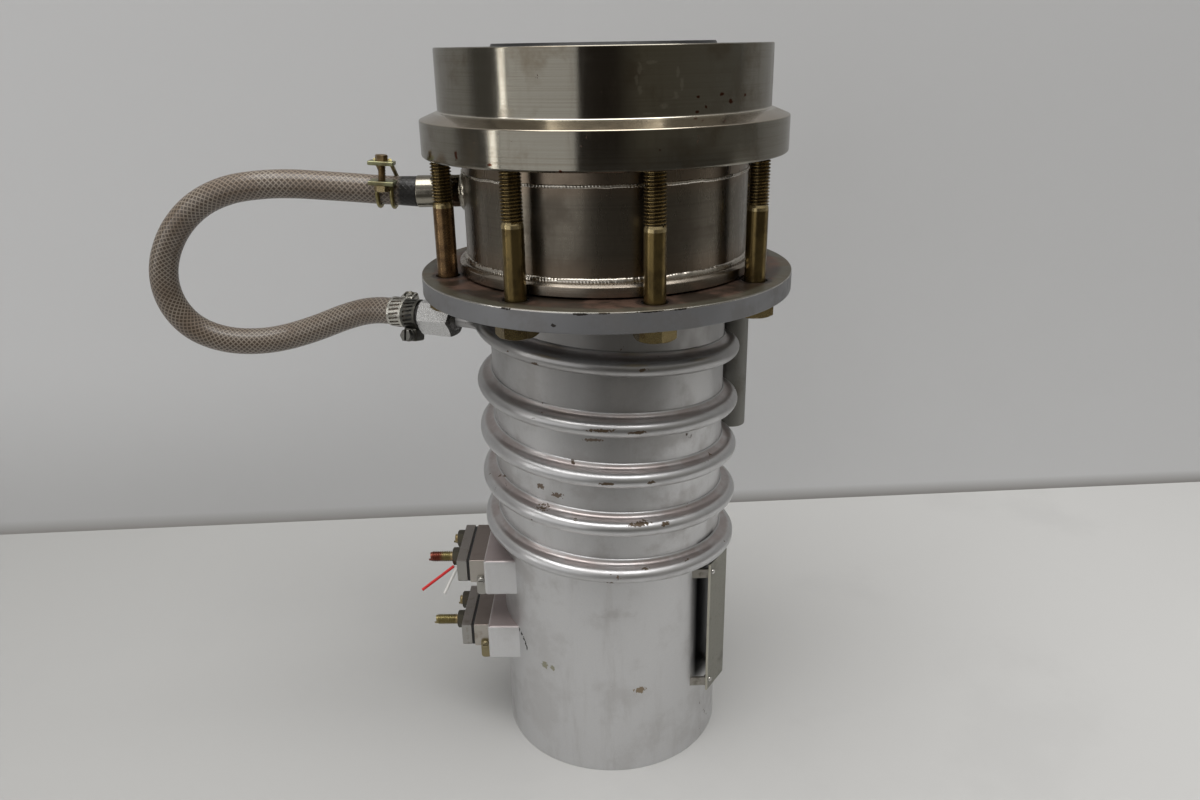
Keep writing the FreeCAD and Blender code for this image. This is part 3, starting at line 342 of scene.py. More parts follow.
hose = place_piece("water_hose", hose, hose_finish, "braided_hose", "hose", crease=50)


# The studio: a pale floor whose reflection falls into shade, and a pale wall seen only from its front.
# One wide soft lamp hangs overhead; a broad panel and a bright strip stand at the left front.
floor_half = 2.6
floor_left_grey = (0.40, 0.40, 0.395)
floor_right_grey = (0.56, 0.56, 0.555)
floor_shade = (0.06, 0.057, 0.052)
wall_grey = (0.64, 0.645, 0.655)
wall_smudge = (0.58, 0.585, 0.595)
wall_foot_shade = (0.30, 0.29, 0.28)
wall_foot_left = Vector((-0.510, 0.217, 0))
wall_foot_right = Vector((0.530, 0.288, 0))
wall_reach = 2.0
wall_height = 2.2

shape = bmesh.new()
bmesh.ops.create_grid(shape, x_segments=1, y_segments=1, size=floor_half)
floor_finish, shader, place = new_finish("studio_floor")
sideways, forward, level = parts_of(place)
seen = add_node(place.tree, "LightPath", None, "Is Camera Ray")
seen = work_out("MAXIMUM", ramp(forward, -0.52, -0.15), seen)
# Painted light: the floor grows lighter towards the right and darker at the left.
near_grey = blend(slope(sideways, -0.5, 0.4), floor_left_grey, floor_right_grey)
near_grey = blend(effect(stains, place, 0.16, 0.5) * 0.15, near_grey, (0.40, 0.40, 0.40))
feed(shader, {
    "Base Color": blend(seen, floor_shade, near_grey), "Roughness": 0.6, "Specular IOR Level": 0.25})
studio_floor = new_object("studio_floor", shape, floor_finish)

shape = bmesh.new()
run = (wall_foot_right - wall_foot_left).normalized() * wall_reach
foot = shape.edges.new((shape.verts.new(wall_foot_left - run), shape.verts.new(wall_foot_right + run)))
raised = bmesh.ops.extrude_edge_only(shape, edges=[foot])["geom"]
bmesh.ops.translate(shape, verts=corners_in(raised), vec=(0, 0, wall_height))
for face in shape.faces:
    face.normal_update()
    if face.normal.y > 0:
        face.normal_flip()
wall_finish, shader, place = new_finish("studio_wall")
sideways, forward, level = parts_of(place)
colour = blend(effect(stains, place, 0.35, 0.6) * 0.15, wall_grey, wall_smudge)
# Painted shadow: the wall darkens low at its left, and painted shade darkens a thin band along its foot.
colour = blend(ramp(sideways, 0.1, -0.35) * ramp(level, 0.16, 0.0) * 0.5, colour, (0.36, 0.36, 0.36))
colour = blend(slope(level, 0.0, 0.012), wall_foot_shade, colour)
seen = add_node(place.tree, "LightPath", None, "Is Camera Ray")
feed(shader, {
    "Base Color": blend(seen, (0.46, 0.46, 0.46), colour), "Roughness": 0.7, "Specular IOR Level": 0.2})
shown = add_node(place.tree, "MixShader", {
    0: add_node(place.tree, "NewGeometry", None, "Backfacing"), 1: Signal(shader.outputs[0]),
    2: add_node(place.tree, "BsdfTransparent")})
feed(place.tree.nodes["Material Output"], {0: shown})
studio_wall = new_object("studio_wall", shape, wall_finish)


def hang_lamp(name, place, target, width, height, radiance, colour):
    """A flat soft lamp of a given brightness, turned towards a point."""
    lamp = bpy.data.lights.new(name, "AREA")
    lamp.shape = "RECTANGLE"
    lamp.size = width
    lamp.size_y = height
    lamp.energy = radiance * math.pi * width * height
    lamp.color = colour
    stand = bpy.data.objects.new(name, lamp)
    look = (Vector(target) - Vector(place)).to_track_quat("-Z", "Y").to_matrix().to_4x4()
    stand.matrix_world = Matrix.Translation(place) @ look
    stand.visible_camera = False
    scene.collection.objects.link(stand)


hang_lamp("ceiling_lamp", (0.0, -0.5, 2.3), (0, -0.1, 0), 2.6, 1.7, 3.7, (1.0, 0.99, 0.975))
hang_lamp("left_panel", (-0.814, -0.988, 0.42), (0, 0, 0.33), 1.11, 0.9, 0.72, (1.0, 1.0, 1.0))
hang_lamp("left_strip", (-1.209, -0.513, 0.45), (0, 0, 0.33), 0.10, 0.9, 3.8, (1.0, 0.985, 0.96))

scene.world = bpy.data.worlds.new("dim_room")
scene.world.use_nodes = True
tree = scene.world.node_tree
sideways, forward, upward = parts_of(add_node(tree, "TexCoord", None, "Generated"))
front_room = blend(slope(sideways, 0.12, 0.4), (0.032, 0.027, 0.023), (0.12, 0.11, 0.088))
low_room = blend(slope(forward, -0.9, 0.3), front_room, (0.15, 0.146, 0.135))
room_colour = blend(slope(upward, 0.15, 0.8), low_room, (0.52, 0.51, 0.49))
seen = add_node(tree, "LightPath", None, "Is Camera Ray")
feed(tree.nodes["Background"], {0: blend(seen, room_colour, (0.40, 0.405, 0.415)), 1: 1.0})


# Heater skirt: a thin steel tube that carries the barrel's outside down to the floor, silver painted,
# with a window behind each terminal unit. Cover, pad and band heater fill it from below.
barrel_radius = 60.5
skirt_wall = 1.5
step_base = 98.0
unit_bases = (54.0, 95.0)
window_width = 10.0
window_front = 16.5
window_height = 6.9
round_steps = 192
paint_silver = (0.66, 0.66, 0.665)
paint_dust = (0.30, 0.27, 0.245)
paint_streak = (0.498, 0.4845, 0.476)
paint_flake = (0.26, 0.26, 0.27)
under_paint = (0.105, 0.07, 0.048)
# Near-black painted shade, for the gap behind the rating plate and the plate's back.
gap_shade_black = (0.006, 0.006, 0.006)

# Chips: small ragged spots, about Size across, on a Share of the surface.
chips, place, size, share = new_effect("chips", "Size", "Share")
scale = 1.0 / size
low = 1.02 - share * 0.35
both = clouds(place, scale, 5.0, 0.6) + clouds(place, scale * 0.17, 1.0) * 0.45
gives(chips, "Mask", slope(both, low, low + 0.012))

# Grain: the fine roughness of a coat or of blasted metal, from 0 to 1.
grain, place, size = new_effect("grain", "Size")
gives(grain, "Height", clouds(place, 1.0 / size, 3.0, 0.7))


def distance(x, y):
    """How long a line is whose two parts are given."""
    return work_out("SQRT", x * x + y * y)


# Bare spot: how far a point lies inside an oval of Width and Height round Centre, 1 at its middle.
bare_spot, place, centre, width, height = new_effect("bare_spot", "Centre", "Width", "Height")
x, y, level = parts_of(add_node(bare_spot, "VectorMath", {0: place, 1: centre}, operation="SUBTRACT"))
gives(bare_spot, "Depth", 1.0 - distance(distance(x, y) / width, level / height))

# Wiping: long faint streaks down a surface, from 0 to 1, as a cloth or brush leaves them.
wiping, place, width = new_effect("wiping", "Width")
drawn = add_node(wiping, "VectorMath", {0: place, 1: (1.0, 1.0, 0.13)}, operation="MULTIPLY")
gives(wiping, "Streak", clouds(drawn, 1.0 / width, 5.0, 0.7))


def plan_ray(angle):
    """Unit vector in plan at an angle in degrees."""
    return Vector((math.cos(math.radians(angle)), math.sin(math.radians(angle)), 0))


def up_by(level):
    """A vector straight up."""
    return Vector((0, 0, level))


def bared(place, spots):
    """A ragged mask of bare spots, each given by angle, radius, level, width and height in millimetres."""
    deepest = None
    for angle, radius, level, width, height in spots:
        centre = (plan_ray(angle) * radius + up_by(level)) * MM
        depth = effect(bare_spot, place, centre, width * MM, height * MM)
        deepest = work_out("MAXIMUM", deepest, depth) if deepest else depth
    return slope((clouds(place, 900.0, 4.0) - 0.5) * 2.2 + deepest, 0.12, 0.2)


def silver_paint(name, dusty=0.35, chip_share=0.2, chip_size=0.006, shade=None, metal_share=0.88,
                 spots=None, spot_colour=(0.27, 0.21, 0.14)):
    """Aluminium-silver paint with dust, streaks, chips down to brown metal, and what shade adds to it."""
    finish, shader, place = new_finish(name)
    cloud = effect(stains, place, 0.03, 0.6)
    chip = effect(chips, place, chip_size, chip_share)
    flake = effect(grain, place, 0.0007)
    streak = effect(wiping, place, 0.009)
    colour = blend(cloud * dusty, paint_silver, paint_dust)
    colour = blend(ramp(streak, 0.5, 0.95), colour, paint_streak)
    colour = blend(flake * 0.22, colour, paint_flake)
    if shade:
        colour = shade(place, colour)
    if spots:
        bare = bared(place, spots)
        colour = blend(bare, colour, spot_colour)
        chip = work_out("MAXIMUM", chip, bare * 0.5)
    whole = 1.0 - chip
    feed(shader, {
        "Base Color": blend(chip * (1.0 - bare) if spots else chip, colour, under_paint),
        "Metallic": whole * metal_share,
        "Roughness": chip * 0.3 + cloud * 0.12 + streak * 0.14 + 0.24,
        "Normal": bump(flake * 0.15 + whole, 0.5, 0.0002)})
    return finish


def rounded(shape, corners, offset, segments, affect="EDGES"):
    """Rounds edges or corners of a shape."""
    bmesh.ops.bevel(shape, geom=corners, offset=offset, offset_type="OFFSET", segments=segments, profile=0.5,
                    affect=affect, material=-1)


def spun(shape, moving, turn, steps, climb=0.0, closed=False):
    """Carries an outline round the upright axis, climbing a little at each step, and gives its last place."""
    return bmesh.ops.spin(shape, geom=moving, cent=(0, 0, 0), axis=(0, 0, 1), dvec=(0, 0, climb), angle=turn,
                          steps=steps, use_merge=closed, use_duplicate=False)["geom_last"]


def turned(outline, steps=round_steps):
    """A piece turned about the upright axis from corners of radius, height and rounding."""
    shape = bmesh.new()
    corners = [shape.verts.new((corner[0], 0, corner[1])) for corner in outline]
    shape.faces.new(corners)
    for corner, data in zip(corners, outline):
        if len(data) == 3 and data[2] > 0:
            rounded(shape, [corner], data[2], 3, "VERTICES")
    bmesh.ops.delete(shape, geom=shape.faces[:], context="FACES_ONLY")
    on_axis = [edge for edge in shape.edges if max(vertex.co.x for vertex in edge.verts) < 0.001]
    bmesh.ops.delete(shape, geom=on_axis, context="EDGES")
    spun(shape, shape.verts[:] + shape.edges[:], 2 * math.pi, steps, closed=True)
    bmesh.ops.remove_doubles(shape, verts=shape.verts, dist=0.0005)
    bmesh.ops.recalc_face_normals(shape, faces=shape.faces)
    return shape


def tube(inner, outer, low, high, low_round=0.0, high_round=0.0, steps=round_steps):
    """A tube about the upright axis, its outer edges rounded."""
    return turned([(inner, low), (outer, low, low_round), (outer, high, high_round), (inner, high)], steps)


def rod(radius, low, high, rounding=0.0, steps=32):
    """A round bar about the upright axis."""
    return tube(0, radius, low, high, rounding, rounding, steps)


def moved(shape, way):
    """Slides a shape."""
    bmesh.ops.translate(shape, vec=way, verts=shape.verts)
    return shape


def swung(shape, degrees, axis="Z"):
    """Turns a shape about an axis."""
    turn = Matrix.Rotation(math.radians(degrees), 3, axis)
    bmesh.ops.rotate(shape, cent=(0, 0, 0), matrix=turn, verts=shape.verts)
    return shape


def block(low, high, rounding=0.0, segments=2):
    """A rectangular block between two corners, its edges rounded."""
    shape = bmesh.new()
    bmesh.ops.create_cube(shape, size=1)
    bmesh.ops.scale(shape, vec=[b - a for a, b in zip(low, high)], verts=shape.verts)
    moved(shape, [(a + b) / 2 for a, b in zip(low, high)])
    if rounding:
        rounded(shape, shape.edges[:], rounding, segments)
    return shape


def set_in(shape, place):
    """Moves a shape made in a frame of its own to that frame's place."""
    bmesh.ops.transform(shape, matrix=place, verts=shape.verts)
    return shape


def aimed(shape, place, direction):
    """Moves a shape made about the upright axis to a place, its axis along a direction."""
    turn = Vector(direction).to_track_quat("Z", "Y").to_matrix().to_4x4()
    return set_in(shape, Matrix.Translation(place) @ turn)


def joined(*shapes):
    """Several shapes as one."""
    whole = shapes[0]
    for other in shapes[1:]:
        mesh = bpy.data.meshes.new("part")
        other.to_mesh(mesh)
        other.free()
        whole.from_mesh(mesh)
        bpy.data.meshes.remove(mesh)
    return whole


def carved(shape, tool, operation="DIFFERENCE"):
    """Cuts a tool out of a shape, or keeps what they share."""
    holders = [new_object("blank", item) for item in (shape, tool)]
    cutter = holders[0].modifiers.new("cut", "BOOLEAN")
    cutter.operation = operation
    cutter.object = holders[1]
    cutter.solver = "EXACT"
    bpy.context.view_layer.update()
    result = bpy.data.meshes.new_from_object(holders[0].evaluated_get(bpy.context.evaluated_depsgraph_get()))
    for holder in holders:
        bpy.data.objects.remove(holder)
    whole = bmesh.new()
    whole.from_mesh(result)
    bmesh.ops.dissolve_degenerate(whole, edges=whole.edges, dist=0.0005)
    return whole


def polar_parts(place):
    """Radius, angle in turns and level of a point of the piece."""
    x, y, level = parts_of(place)
    return distance(x, y), work_out("ARCTAN2", y, x) / (2 * math.pi), level


def between(value, low, rise, fall, high):
    """A band: it rises from low to rise and ends from fall to high."""
    return ramp(value, low, rise) * (1.0 - ramp(value, fall, high))


def plate_gap_shade(place, colour):
    """Painted shade: near-black in the gap behind the rating plate, where no light reaches."""
    radius, turns, level = polar_parts(place)
    behind = between(turns, -0.121, -0.111, -0.074, -0.062) * between(level, 0.040, 0.050, 0.128, 0.132)
    return blend(behind, colour, gap_shade_black)


skirt_chip = ((-75.8, 60.5, 51.9, 3.4, 2.2),)
pale_spots = ((-126.5, 60.5, 61.1, 2.2, 2.6), (-121.4, 60.5, 61.3, 1.6, 1.8))
skirt_scratch = (
    (-146.5, 60.5, 73.6, 1.0, 1.5), (-144.2, 60.5, 71.9, 1.0, 1.5), (-142.2, 60.5, 69.9, 0.9, 1.6),
    (-140.8, 60.5, 67.5, 0.8, 1.7), (-139.9, 60.5, 65.2, 0.7, 1.5))


def scratches_and_gap_shade(place, colour):
    """A dark curved scratch and two pale spots at the left, and painted shade, near-black, in the gap behind
    the rating plate.
    """
    colour = blend(bared(place, skirt_scratch), colour, (0.02, 0.018, 0.016))
    colour = blend(bared(place, pale_spots), colour, (0.34, 0.33, 0.25))
    return plate_gap_shade(place, colour)


skirt_paint = silver_paint("skirt_paint", 0.15, 0.06, 0.0065, scratches_and_gap_shade, spots=skirt_chip)
skirt = tube(barrel_radius - skirt_wall, barrel_radius, 0, step_base, 0.3)
windows = [block((-70, -window_front, base), (-50, window_width - window_front, base + window_height))
           for base in unit_bases]
skirt = carved(skirt, joined(*windows))
place_piece("skirt_tube", skirt, skirt_paint, "silver_paint", "heater_skirt", crease=30)


def plain_finish(name, colour, roughness, metallic=0.0, stain=(0.2, 0.18, 0.16), share=0.4, stain_size=0.012,
                 grain_size=0.0006, relief=0.0001, shade=None):
    """One material with clouds of stain and a fine grain."""
    finish, shader, place = new_finish(name)
    fine = effect(grain, place, grain_size)
    shown = blend(effect(stains, place, stain_size, share) * 0.7, colour, stain)
    if shade:
        shown = shade(place, shown)
    feed(shader, {"Base Color": shown, "Metallic": metallic, "Roughness": fine * 0.2 + (roughness - 0.1),
                  "Normal": bump(fine, 0.5, relief)})
    return finish


def dress(finish, *names):
    """Gives CAD pieces that stay in sight a finish."""
    for name in names:
        mesh = bpy.data.objects[name].data
        mesh.materials.clear()
        mesh.materials.append(finish)


dull_steel = plain_finish("dull_sheet_steel", (0.33, 0.31, 0.27), 0.45, 0.8, (0.16, 0.12, 0.09))
fibre = plain_finish("ceramic_fibre", (0.62, 0.59, 0.55), 0.9, 0.0, (0.42, 0.36, 0.30), relief=0.0004)
heater_metal = plain_finish("heater_band", (0.13, 0.12, 0.11), 0.5, 0.7, (0.10, 0.06, 0.04))
dress(dull_steel, "base_cover")
dress(fibre, "insulation_pad")
dress(heater_metal, "band_heater")


# Barrel: one rolled and welded vessel, silver painted outside, with a narrower boiler cup below its step.
# Its back wall is open to the fore-vacuum port.
barrel_bore = barrel_radius - 3.0
barrel_top = 262.9
step_top = step_base + 6.0
boiler_radius = 54.0
boiler_bore = boiler_radius - 3.0
boiler_floor = 33.0
boiler_floor_top = boiler_floor + 6.0
port_level = 120.0
port_radius = 13.6


def flange_shadow(place, colour):
    """Painted shadow: the paint darkens just under the flange and beside the coil, where the flange shades it
    from above.
    """
    return blend(slope(parts_of(place)[2], 0.19, 0.262) * 0.78, colour, (0.20, 0.19, 0.18))


def barrel_painted_shade(place, colour):
    """Painted shade on the barrel: the flange's shadow above, and near-black in the gap behind the top of the
    plate.
    """
    return plate_gap_shade(place, flange_shadow(place, colour))


barrel_chips = (
    (-97.5, 60.5, 197.2, 6.0, 0.8), (-124.7, 60.5, 168.3, 2.6, 1.5), (-115.3, 60.5, 165.7, 3.4, 1.6))
barrel_paint = silver_paint("barrel_paint", 0.3, 0.1, shade=barrel_painted_shade, spots=barrel_chips,
                            spot_colour=(0.20, 0.155, 0.12))
vessel = turned([
    (0, boiler_floor), (boiler_radius, boiler_floor, 1.0), (boiler_radius, step_base),
    (barrel_radius, step_base), (barrel_radius, barrel_top), (barrel_bore, barrel_top),
    (barrel_bore, step_top), (boiler_bore, step_top), (boiler_bore, boiler_floor_top), (0, boiler_floor_top)])
port_hole = aimed(rod(port_radius, 30, 80), (0, 0, port_level), (0, 1, 0))
place_piece("barrel_vessel", carved(vessel, port_hole), barrel_paint, "silver_paint", "barrel", crease=30)


# Jets: three spun aluminium umbrella nozzles stacked on a flared skirt in the boiler.
# A steel tie rod and nut hold them down; they only show through the inlet.
jet_metal = plain_finish("jet_aluminium", (0.58, 0.585, 0.59), 0.4, 0.9, (0.34, 0.26, 0.17), 0.5)
jet_wall = 1.5
cap_drop = 14.0
cap_slope = 6.0
tie_radius = 3.0
top_jet_level = 224.0
top_jet_neck = 10.0
top_cap_radius = 25.0
jet_stages = (("middle_jet", 15.0, 178.0, 33.0, 10.0, 224.0), ("lower_jet", 20.0, 128.0, 39.0, 15.0, 178.0))
for node, below, base, cap, chimney, top in jet_stages:
    crown = base + cap_slope
    brim = crown - cap_drop
    shape = turned([
        (below - jet_wall, base), (below, base), (cap, brim), (cap + jet_wall, brim, 0.4),
        (chimney, crown, 1.0), (chimney, top), (chimney - jet_wall, top), (chimney - jet_wall, crown)], 96)
    place_piece(node + "_spun", shape, jet_metal, "jet_aluminium", node)
crown = top_jet_level + cap_slope
brim = crown - cap_drop
shape = turned([
    (tie_radius, top_jet_level), (top_jet_neck, top_jet_level), (top_cap_radius, brim),
    (top_cap_radius + jet_wall, brim, 0.4), (top_jet_neck, crown, 1.0), (tie_radius, crown)], 96)
place_piece("top_jet_spun", shape, jet_metal, "jet_aluminium", "top_jet")
dress(jet_metal, "jet_skirt")


# Inlet flange: a turned steel ring socketed over the barrel, painted silver on its rim.
# Its bare top face is rusty brown under the bolts, with a bright worn corner all round.
flange_radius = 92.5
flange_base = 258.9
flange_top = 268.8
flange_hole = 6.0
bolt_circle = 80.0
bolt_count = 8
first_bolt_angle = 15.0
groove_inner = 61.0
groove_outer = 66.0
groove_floor = flange_top - 3.0
rust_brown = (0.046, 0.032, 0.022)
rust_pale = (0.155, 0.093, 0.068)
rust_rim = (0.12, 0.115, 0.085)
rust_dark = (0.018, 0.014, 0.012)
rim_paint = (0.225, 0.228, 0.238)
rim_dust = (0.165, 0.15, 0.14)
worn_steel = (0.62, 0.60, 0.57)
rim_knocks = (
    (-97.0, 92.5, 267.9, 4.0, 0.6), (-91.0, 92.5, 268.3, 3.0, 0.4), (-79.0, 92.5, 268.3, 6.0, 0.5),
    (-71.0, 92.5, 268.2, 5.0, 0.5), (-118.0, 92.5, 268.1, 3.0, 0.6), (-104.0, 92.5, 262.5, 1.2, 1.0))


def bolt_distance(radius, turns):
    """How far a point lies, in plan, from the middle of the nearest bolt."""
    to_bolt = work_out("FRACT", turns * bolt_count + (0.5 - first_bolt_angle / 360 * bolt_count)) - 0.5
    return distance(to_bolt * (2 * math.pi / bolt_count) * radius, radius - bolt_circle * MM)


flange_finish, shader, place = new_finish("flange_paint")
radius, turns, level = polar_parts(place)
cloud = effect(stains, place, 0.02, 0.65)
patch = effect(chips, place, 0.008, 0.14)
on_top = ramp(level, 0.2682, 0.2687)
on_corner = ramp(level, 0.2679, 0.26805) * (1.0 - on_top)
near_bolt = 1.0 - ramp(bolt_distance(radius, turns), 0.0072, 0.0092)
rust = blend(cloud, rust_brown, rust_pale)
rust = blend(ramp(radius, 0.0850, 0.0885) * 0.7, rust, rust_rim)
rust = blend(near_bolt * 0.75, rust, rust_dark)
paint = blend(cloud * 0.3, rim_paint, rim_dust)
paint = blend(patch, paint, (0.20, 0.17, 0.15))
paint = blend(on_corner, paint, worn_steel)
paint = blend(bared(place, rim_knocks), paint, (0.035, 0.03, 0.027))
feed(shader, {
    "Base Color": blend(on_top, paint, rust), "Metallic": on_corner * 0.5 + 0.45,
    "Roughness": on_corner * -0.2 + cloud * 0.16 + 0.40,
    "Normal": bump(effect(grain, place, 0.0009) * 0.5 + patch, 0.4, 0.0003)})


def ring_of_rods(radius, circle, low, high, count, first_angle):
    """Upright round bars set on a circle, for drilling a ring of holes."""
    return joined(*[moved(rod(radius, low, high), plan_ray(first_angle + index * 360 / count) * circle)
                    for index in range(count)])


flange = turned([
    (barrel_bore, barrel_top), (barrel_radius, barrel_top), (barrel_radius, flange_base),
    (flange_radius, flange_base, 0.7), (flange_radius, flange_top, 0.8), (groove_outer, flange_top),
    (groove_outer, groove_floor), (groove_inner, groove_floor), (groove_inner, flange_top),
    (barrel_bore, flange_top)])
holes = ring_of_rods(flange_hole, bolt_circle, flange_base - 5, flange_top + 5, bolt_count, first_bolt_angle)
place_piece("flange_ring", carved(flange, holes), flange_finish, "silver_paint", "inlet_flange", crease=25)
black_rubber = plain_finish("black_rubber", (0.014, 0.014, 0.015), 0.42, 0.0, (0.05, 0.045, 0.04))
dress(black_rubber, "lower_seal")


# Fore-vacuum port: a stub tube welded through the barrel's back, ending in a clamp flange of plain steel.
# It is behind the barrel in the front view.
port_bore = 12.0
port_root = 56.0
port_reach = 105.0
port_face = port_reach - 3.0
port_flange_radius = 20.0
plain_steel = plain_finish("plain_steel", (0.52, 0.50, 0.46), 0.32, 1.0, (0.22, 0.17, 0.12), 0.4)
port = turned([
    (port_bore, port_root), (port_radius, port_root), (port_radius, port_face - 1.7, 1.0),
    (port_flange_radius, port_face, 0.3), (port_flange_radius, port_reach, 0.3),
    (port_bore, port_reach, 0.4)], 96)
bead = turned([(port_radius - 0.5, 59.0), (port_radius + 3.0, 59.6, 0.8), (port_radius - 0.5, 63.5, 0.6)], 96)
port, bead = [aimed(shape, (0, 0, port_level), (0, 1, 0)) for shape in (port, bead)]
port = carved(port, rod(barrel_bore, 50, 200, steps=round_steps))
place_piece("fore_port", joined(port, bead), plain_steel, "machined_steel", "foreline_port", crease=30)


# Cooling coil: soft copper tube wound down the barrel on two pitches and bedded in solder, then
# painted over in silver. Dust lies pink on the upper fillet; the underside is chipped and darkened by painted
# shade.
coil_radius = 64.5
tube_radius = 4.0
joint_angle = 90.0
joint_level = 217.6
upper_pitch = 34.4
upper_sweep = 255.0
lower_pitch = 26.2
lower_sweep = 1365.0
bend_radius = 16.0
bend_angle = 53.3
inlet_run = 12.5
outlet_run = 46.0
steps_a_turn = 96
fillet = ((0.35, 6.9), (0.8, 6.5), (1.05, 5.8), (1.5, 5.15), (2.2, 4.6), (3.1, 4.2))
fillet_foot = 5.3
bare_from = 84.0
bare_to = -112.0
coil_root = barrel_radius - 0.3
fillet_pink = (0.45, 0.395, 0.385)
# The crown colour below is a painted highlight, and the underside colour is painted shade.
crown_highlight = (0.53, 0.53, 0.54)
underside_shade = (0.10, 0.09, 0.075)
under_chip = (0.075, 0.045, 0.03)
coil_chips = (
    (-119.9, 67.0, 235.2, 2.5, 1.2), (-76.6, 67.0, 234.0, 3.0, 1.0), (-93.4, 67.5, 205.4, 7.0, 0.9),
    (-78.7, 67.0, 203.6, 5.0, 1.0), (-90.9, 67.5, 178.1, 4.5, 0.9), (-73.2, 67.0, 177.0, 2.6, 1.1),
    (-121.0, 66.0, 159.8, 5.0, 1.8), (-104.5, 67.0, 157.4, 2.2, 1.0), (-77.5, 67.5, 154.5, 6.0, 0.9),
    (-66.4, 67.0, 152.7, 2.6, 1.0), (-74.4, 67.0, 128.9, 3.0, 0.8), (-53.3, 67.0, 127.8, 3.0, 1.0))

section = [(coil_root, fillet[0][1])]
section += [(barrel_radius + stand, rise) for stand, rise in fillet]
for index in range(25):
    way = plan_ray(bare_from + (bare_to - bare_from) * index / 24) * tube_radius
    section.append((coil_radius + way.x, way.y))
section += [(barrel_radius + 1.0, 0.5 - fillet_foot), (barrel_radius + 0.4, -fillet_foot),
            (coil_root, -fillet_foot)]
coil_start = joint_angle - upper_sweep
coil_top = joint_level + upper_pitch * upper_sweep / 360
start = plan_ray(coil_start)
coil = bmesh.new()
zone_layer = coil.verts.layers.float.new("zone")
for index, (across, up) in enumerate(section):
    vertex = coil.verts.new((start.x * across, start.y * across, coil_top + up))
    vertex[zone_layer] = index / (len(section) - 1)
coil.verts.ensure_lookup_table()
for index in range(len(section)):
    coil.edges.new((coil.verts[index], coil.verts[(index + 1) % len(section)]))
moving_edge = coil.verts[:] + coil.edges[:]
bmesh.ops.contextual_create(coil, geom=coil.edges[:])
for degrees, pitch in ((upper_sweep, upper_pitch), (lower_sweep, lower_pitch)):
    steps = round(steps_a_turn * degrees / 360)
    last = spun(coil, moving_edge, math.radians(degrees), steps, -pitch * degrees / 360 / steps)
    moving_edge = corners_in(last) + edges_in(last)
bmesh.ops.contextual_create(coil, geom=edges_in(moving_edge))
bmesh.ops.recalc_face_normals(coil, faces=coil.faces)

coil_end = joint_angle + lower_sweep
coil_bottom = joint_level - lower_pitch * lower_sweep / 360
bend_centre = start * (coil_radius + bend_radius) + up_by(coil_top)
bend_start = coil_start + 180
bend = [bend_centre + plan_ray(bend_start + bend_angle * index / 10) * bend_radius for index in range(11)]
inlet_way = plan_ray(bend_start + bend_angle + 90)
inlet_mouth = bend[-1] + inlet_way * inlet_run
outlet_way = plan_ray(coil_end + 90)
outlet_root = plan_ray(coil_end) * coil_radius + up_by(coil_bottom)
outlet_mouth = outlet_root + outlet_way * outlet_run
ends = []
for line in ([bend[0] + (bend[0] - bend[1]) * 1.5] + bend + [bend[-1].lerp(inlet_mouth, 0.5), inlet_mouth],
             [outlet_root - outlet_way * 2, outlet_root, outlet_root.lerp(outlet_mouth, 0.5), outlet_mouth]):
    end = sweep(line, tube_radius, 32)
    crown_layer = end.verts.layers.float.new("zone")
    for vertex in end.verts:
        vertex[crown_layer] = 0.5
    ends.append(end)


def coil_zones(place, colour):
    """Pink dust on the upper fillet, a painted highlight on the crown and the fillet's top ridge, painted
    shade and chips on the underside, and the flange's painted shadow above.
    """
    zone = add_node(place.tree, "Attribute", None, "Fac", attribute_name="zone")
    patch = effect(chips, place, 0.005, 0.95)
    cloud = effect(stains, place, 0.014, 0.8)
    ridge = 1.0 - ramp(zone, 0.05, 0.075)
    crown = between(zone, 0.26, 0.34, 0.5, 0.62)
    lower = ramp(zone, 0.66, 0.86)
    colour = blend(between(zone, 0.05, 0.08, 0.19, 0.30) * (cloud * 0.4 + 0.55), colour, fillet_pink)
    colour = blend(work_out("MAXIMUM", crown, ridge) * 0.6, colour, crown_highlight)
    colour = blend(lower * 0.55, colour, underside_shade)
    return flange_shadow(place, blend(lower * patch, colour, under_chip))


coil_paint = silver_paint("coil_paint", 0.3, 0.2, 0.005, coil_zones, 0.85, coil_chips, (0.10, 0.07, 0.045))
place_piece("coil_tube", joined(coil, *ends), coil_paint, "silver_paint", "cooling_coil", crease=32)


# Hose fittings: short hexagon bars of bright steel soldered on the coil's two ends.
# Each is chamfered at both ends and goes on as a barb inside the hose.
fitting_flats = 17.0
fitting_length = 18.4
socket_depth = 6.0
barb_radius = 4.4
fitting_barb = 14.0
chamfer_flat = 0.97
chamfer_fall = 0.576


def hexagon_bar(flats, low, high, chamfer_low=True, chamfer_high=True):
    """A hexagon bar about the upright axis whose ends are turned to a cone."""
    corner = flats / math.sqrt(3)
    bar = bmesh.new()
    bmesh.ops.create_circle(bar, cap_ends=True, segments=6, radius=corner)
    moved(bar, (0, 0, low))
    raised = bmesh.ops.extrude_face_region(bar, geom=bar.faces[:])["geom"]
    bmesh.ops.translate(bar, vec=(0, 0, high - low), verts=corners_in(raised))
    bmesh.ops.recalc_face_normals(bar, faces=bar.faces)
    flat = flats / 2 * chamfer_flat
    wide = corner + 0.5
    fall = (wide - flat) * chamfer_fall
    outline = [(0, low)]
    outline += [(flat, low), (wide, low + fall)] if chamfer_low else [(wide, low)]
    outline += [(wide, high - fall), (flat, high)] if chamfer_high else [(wide, high)]
    return carved(bar, turned(outline + [(0, high)], 96), "INTERSECT")


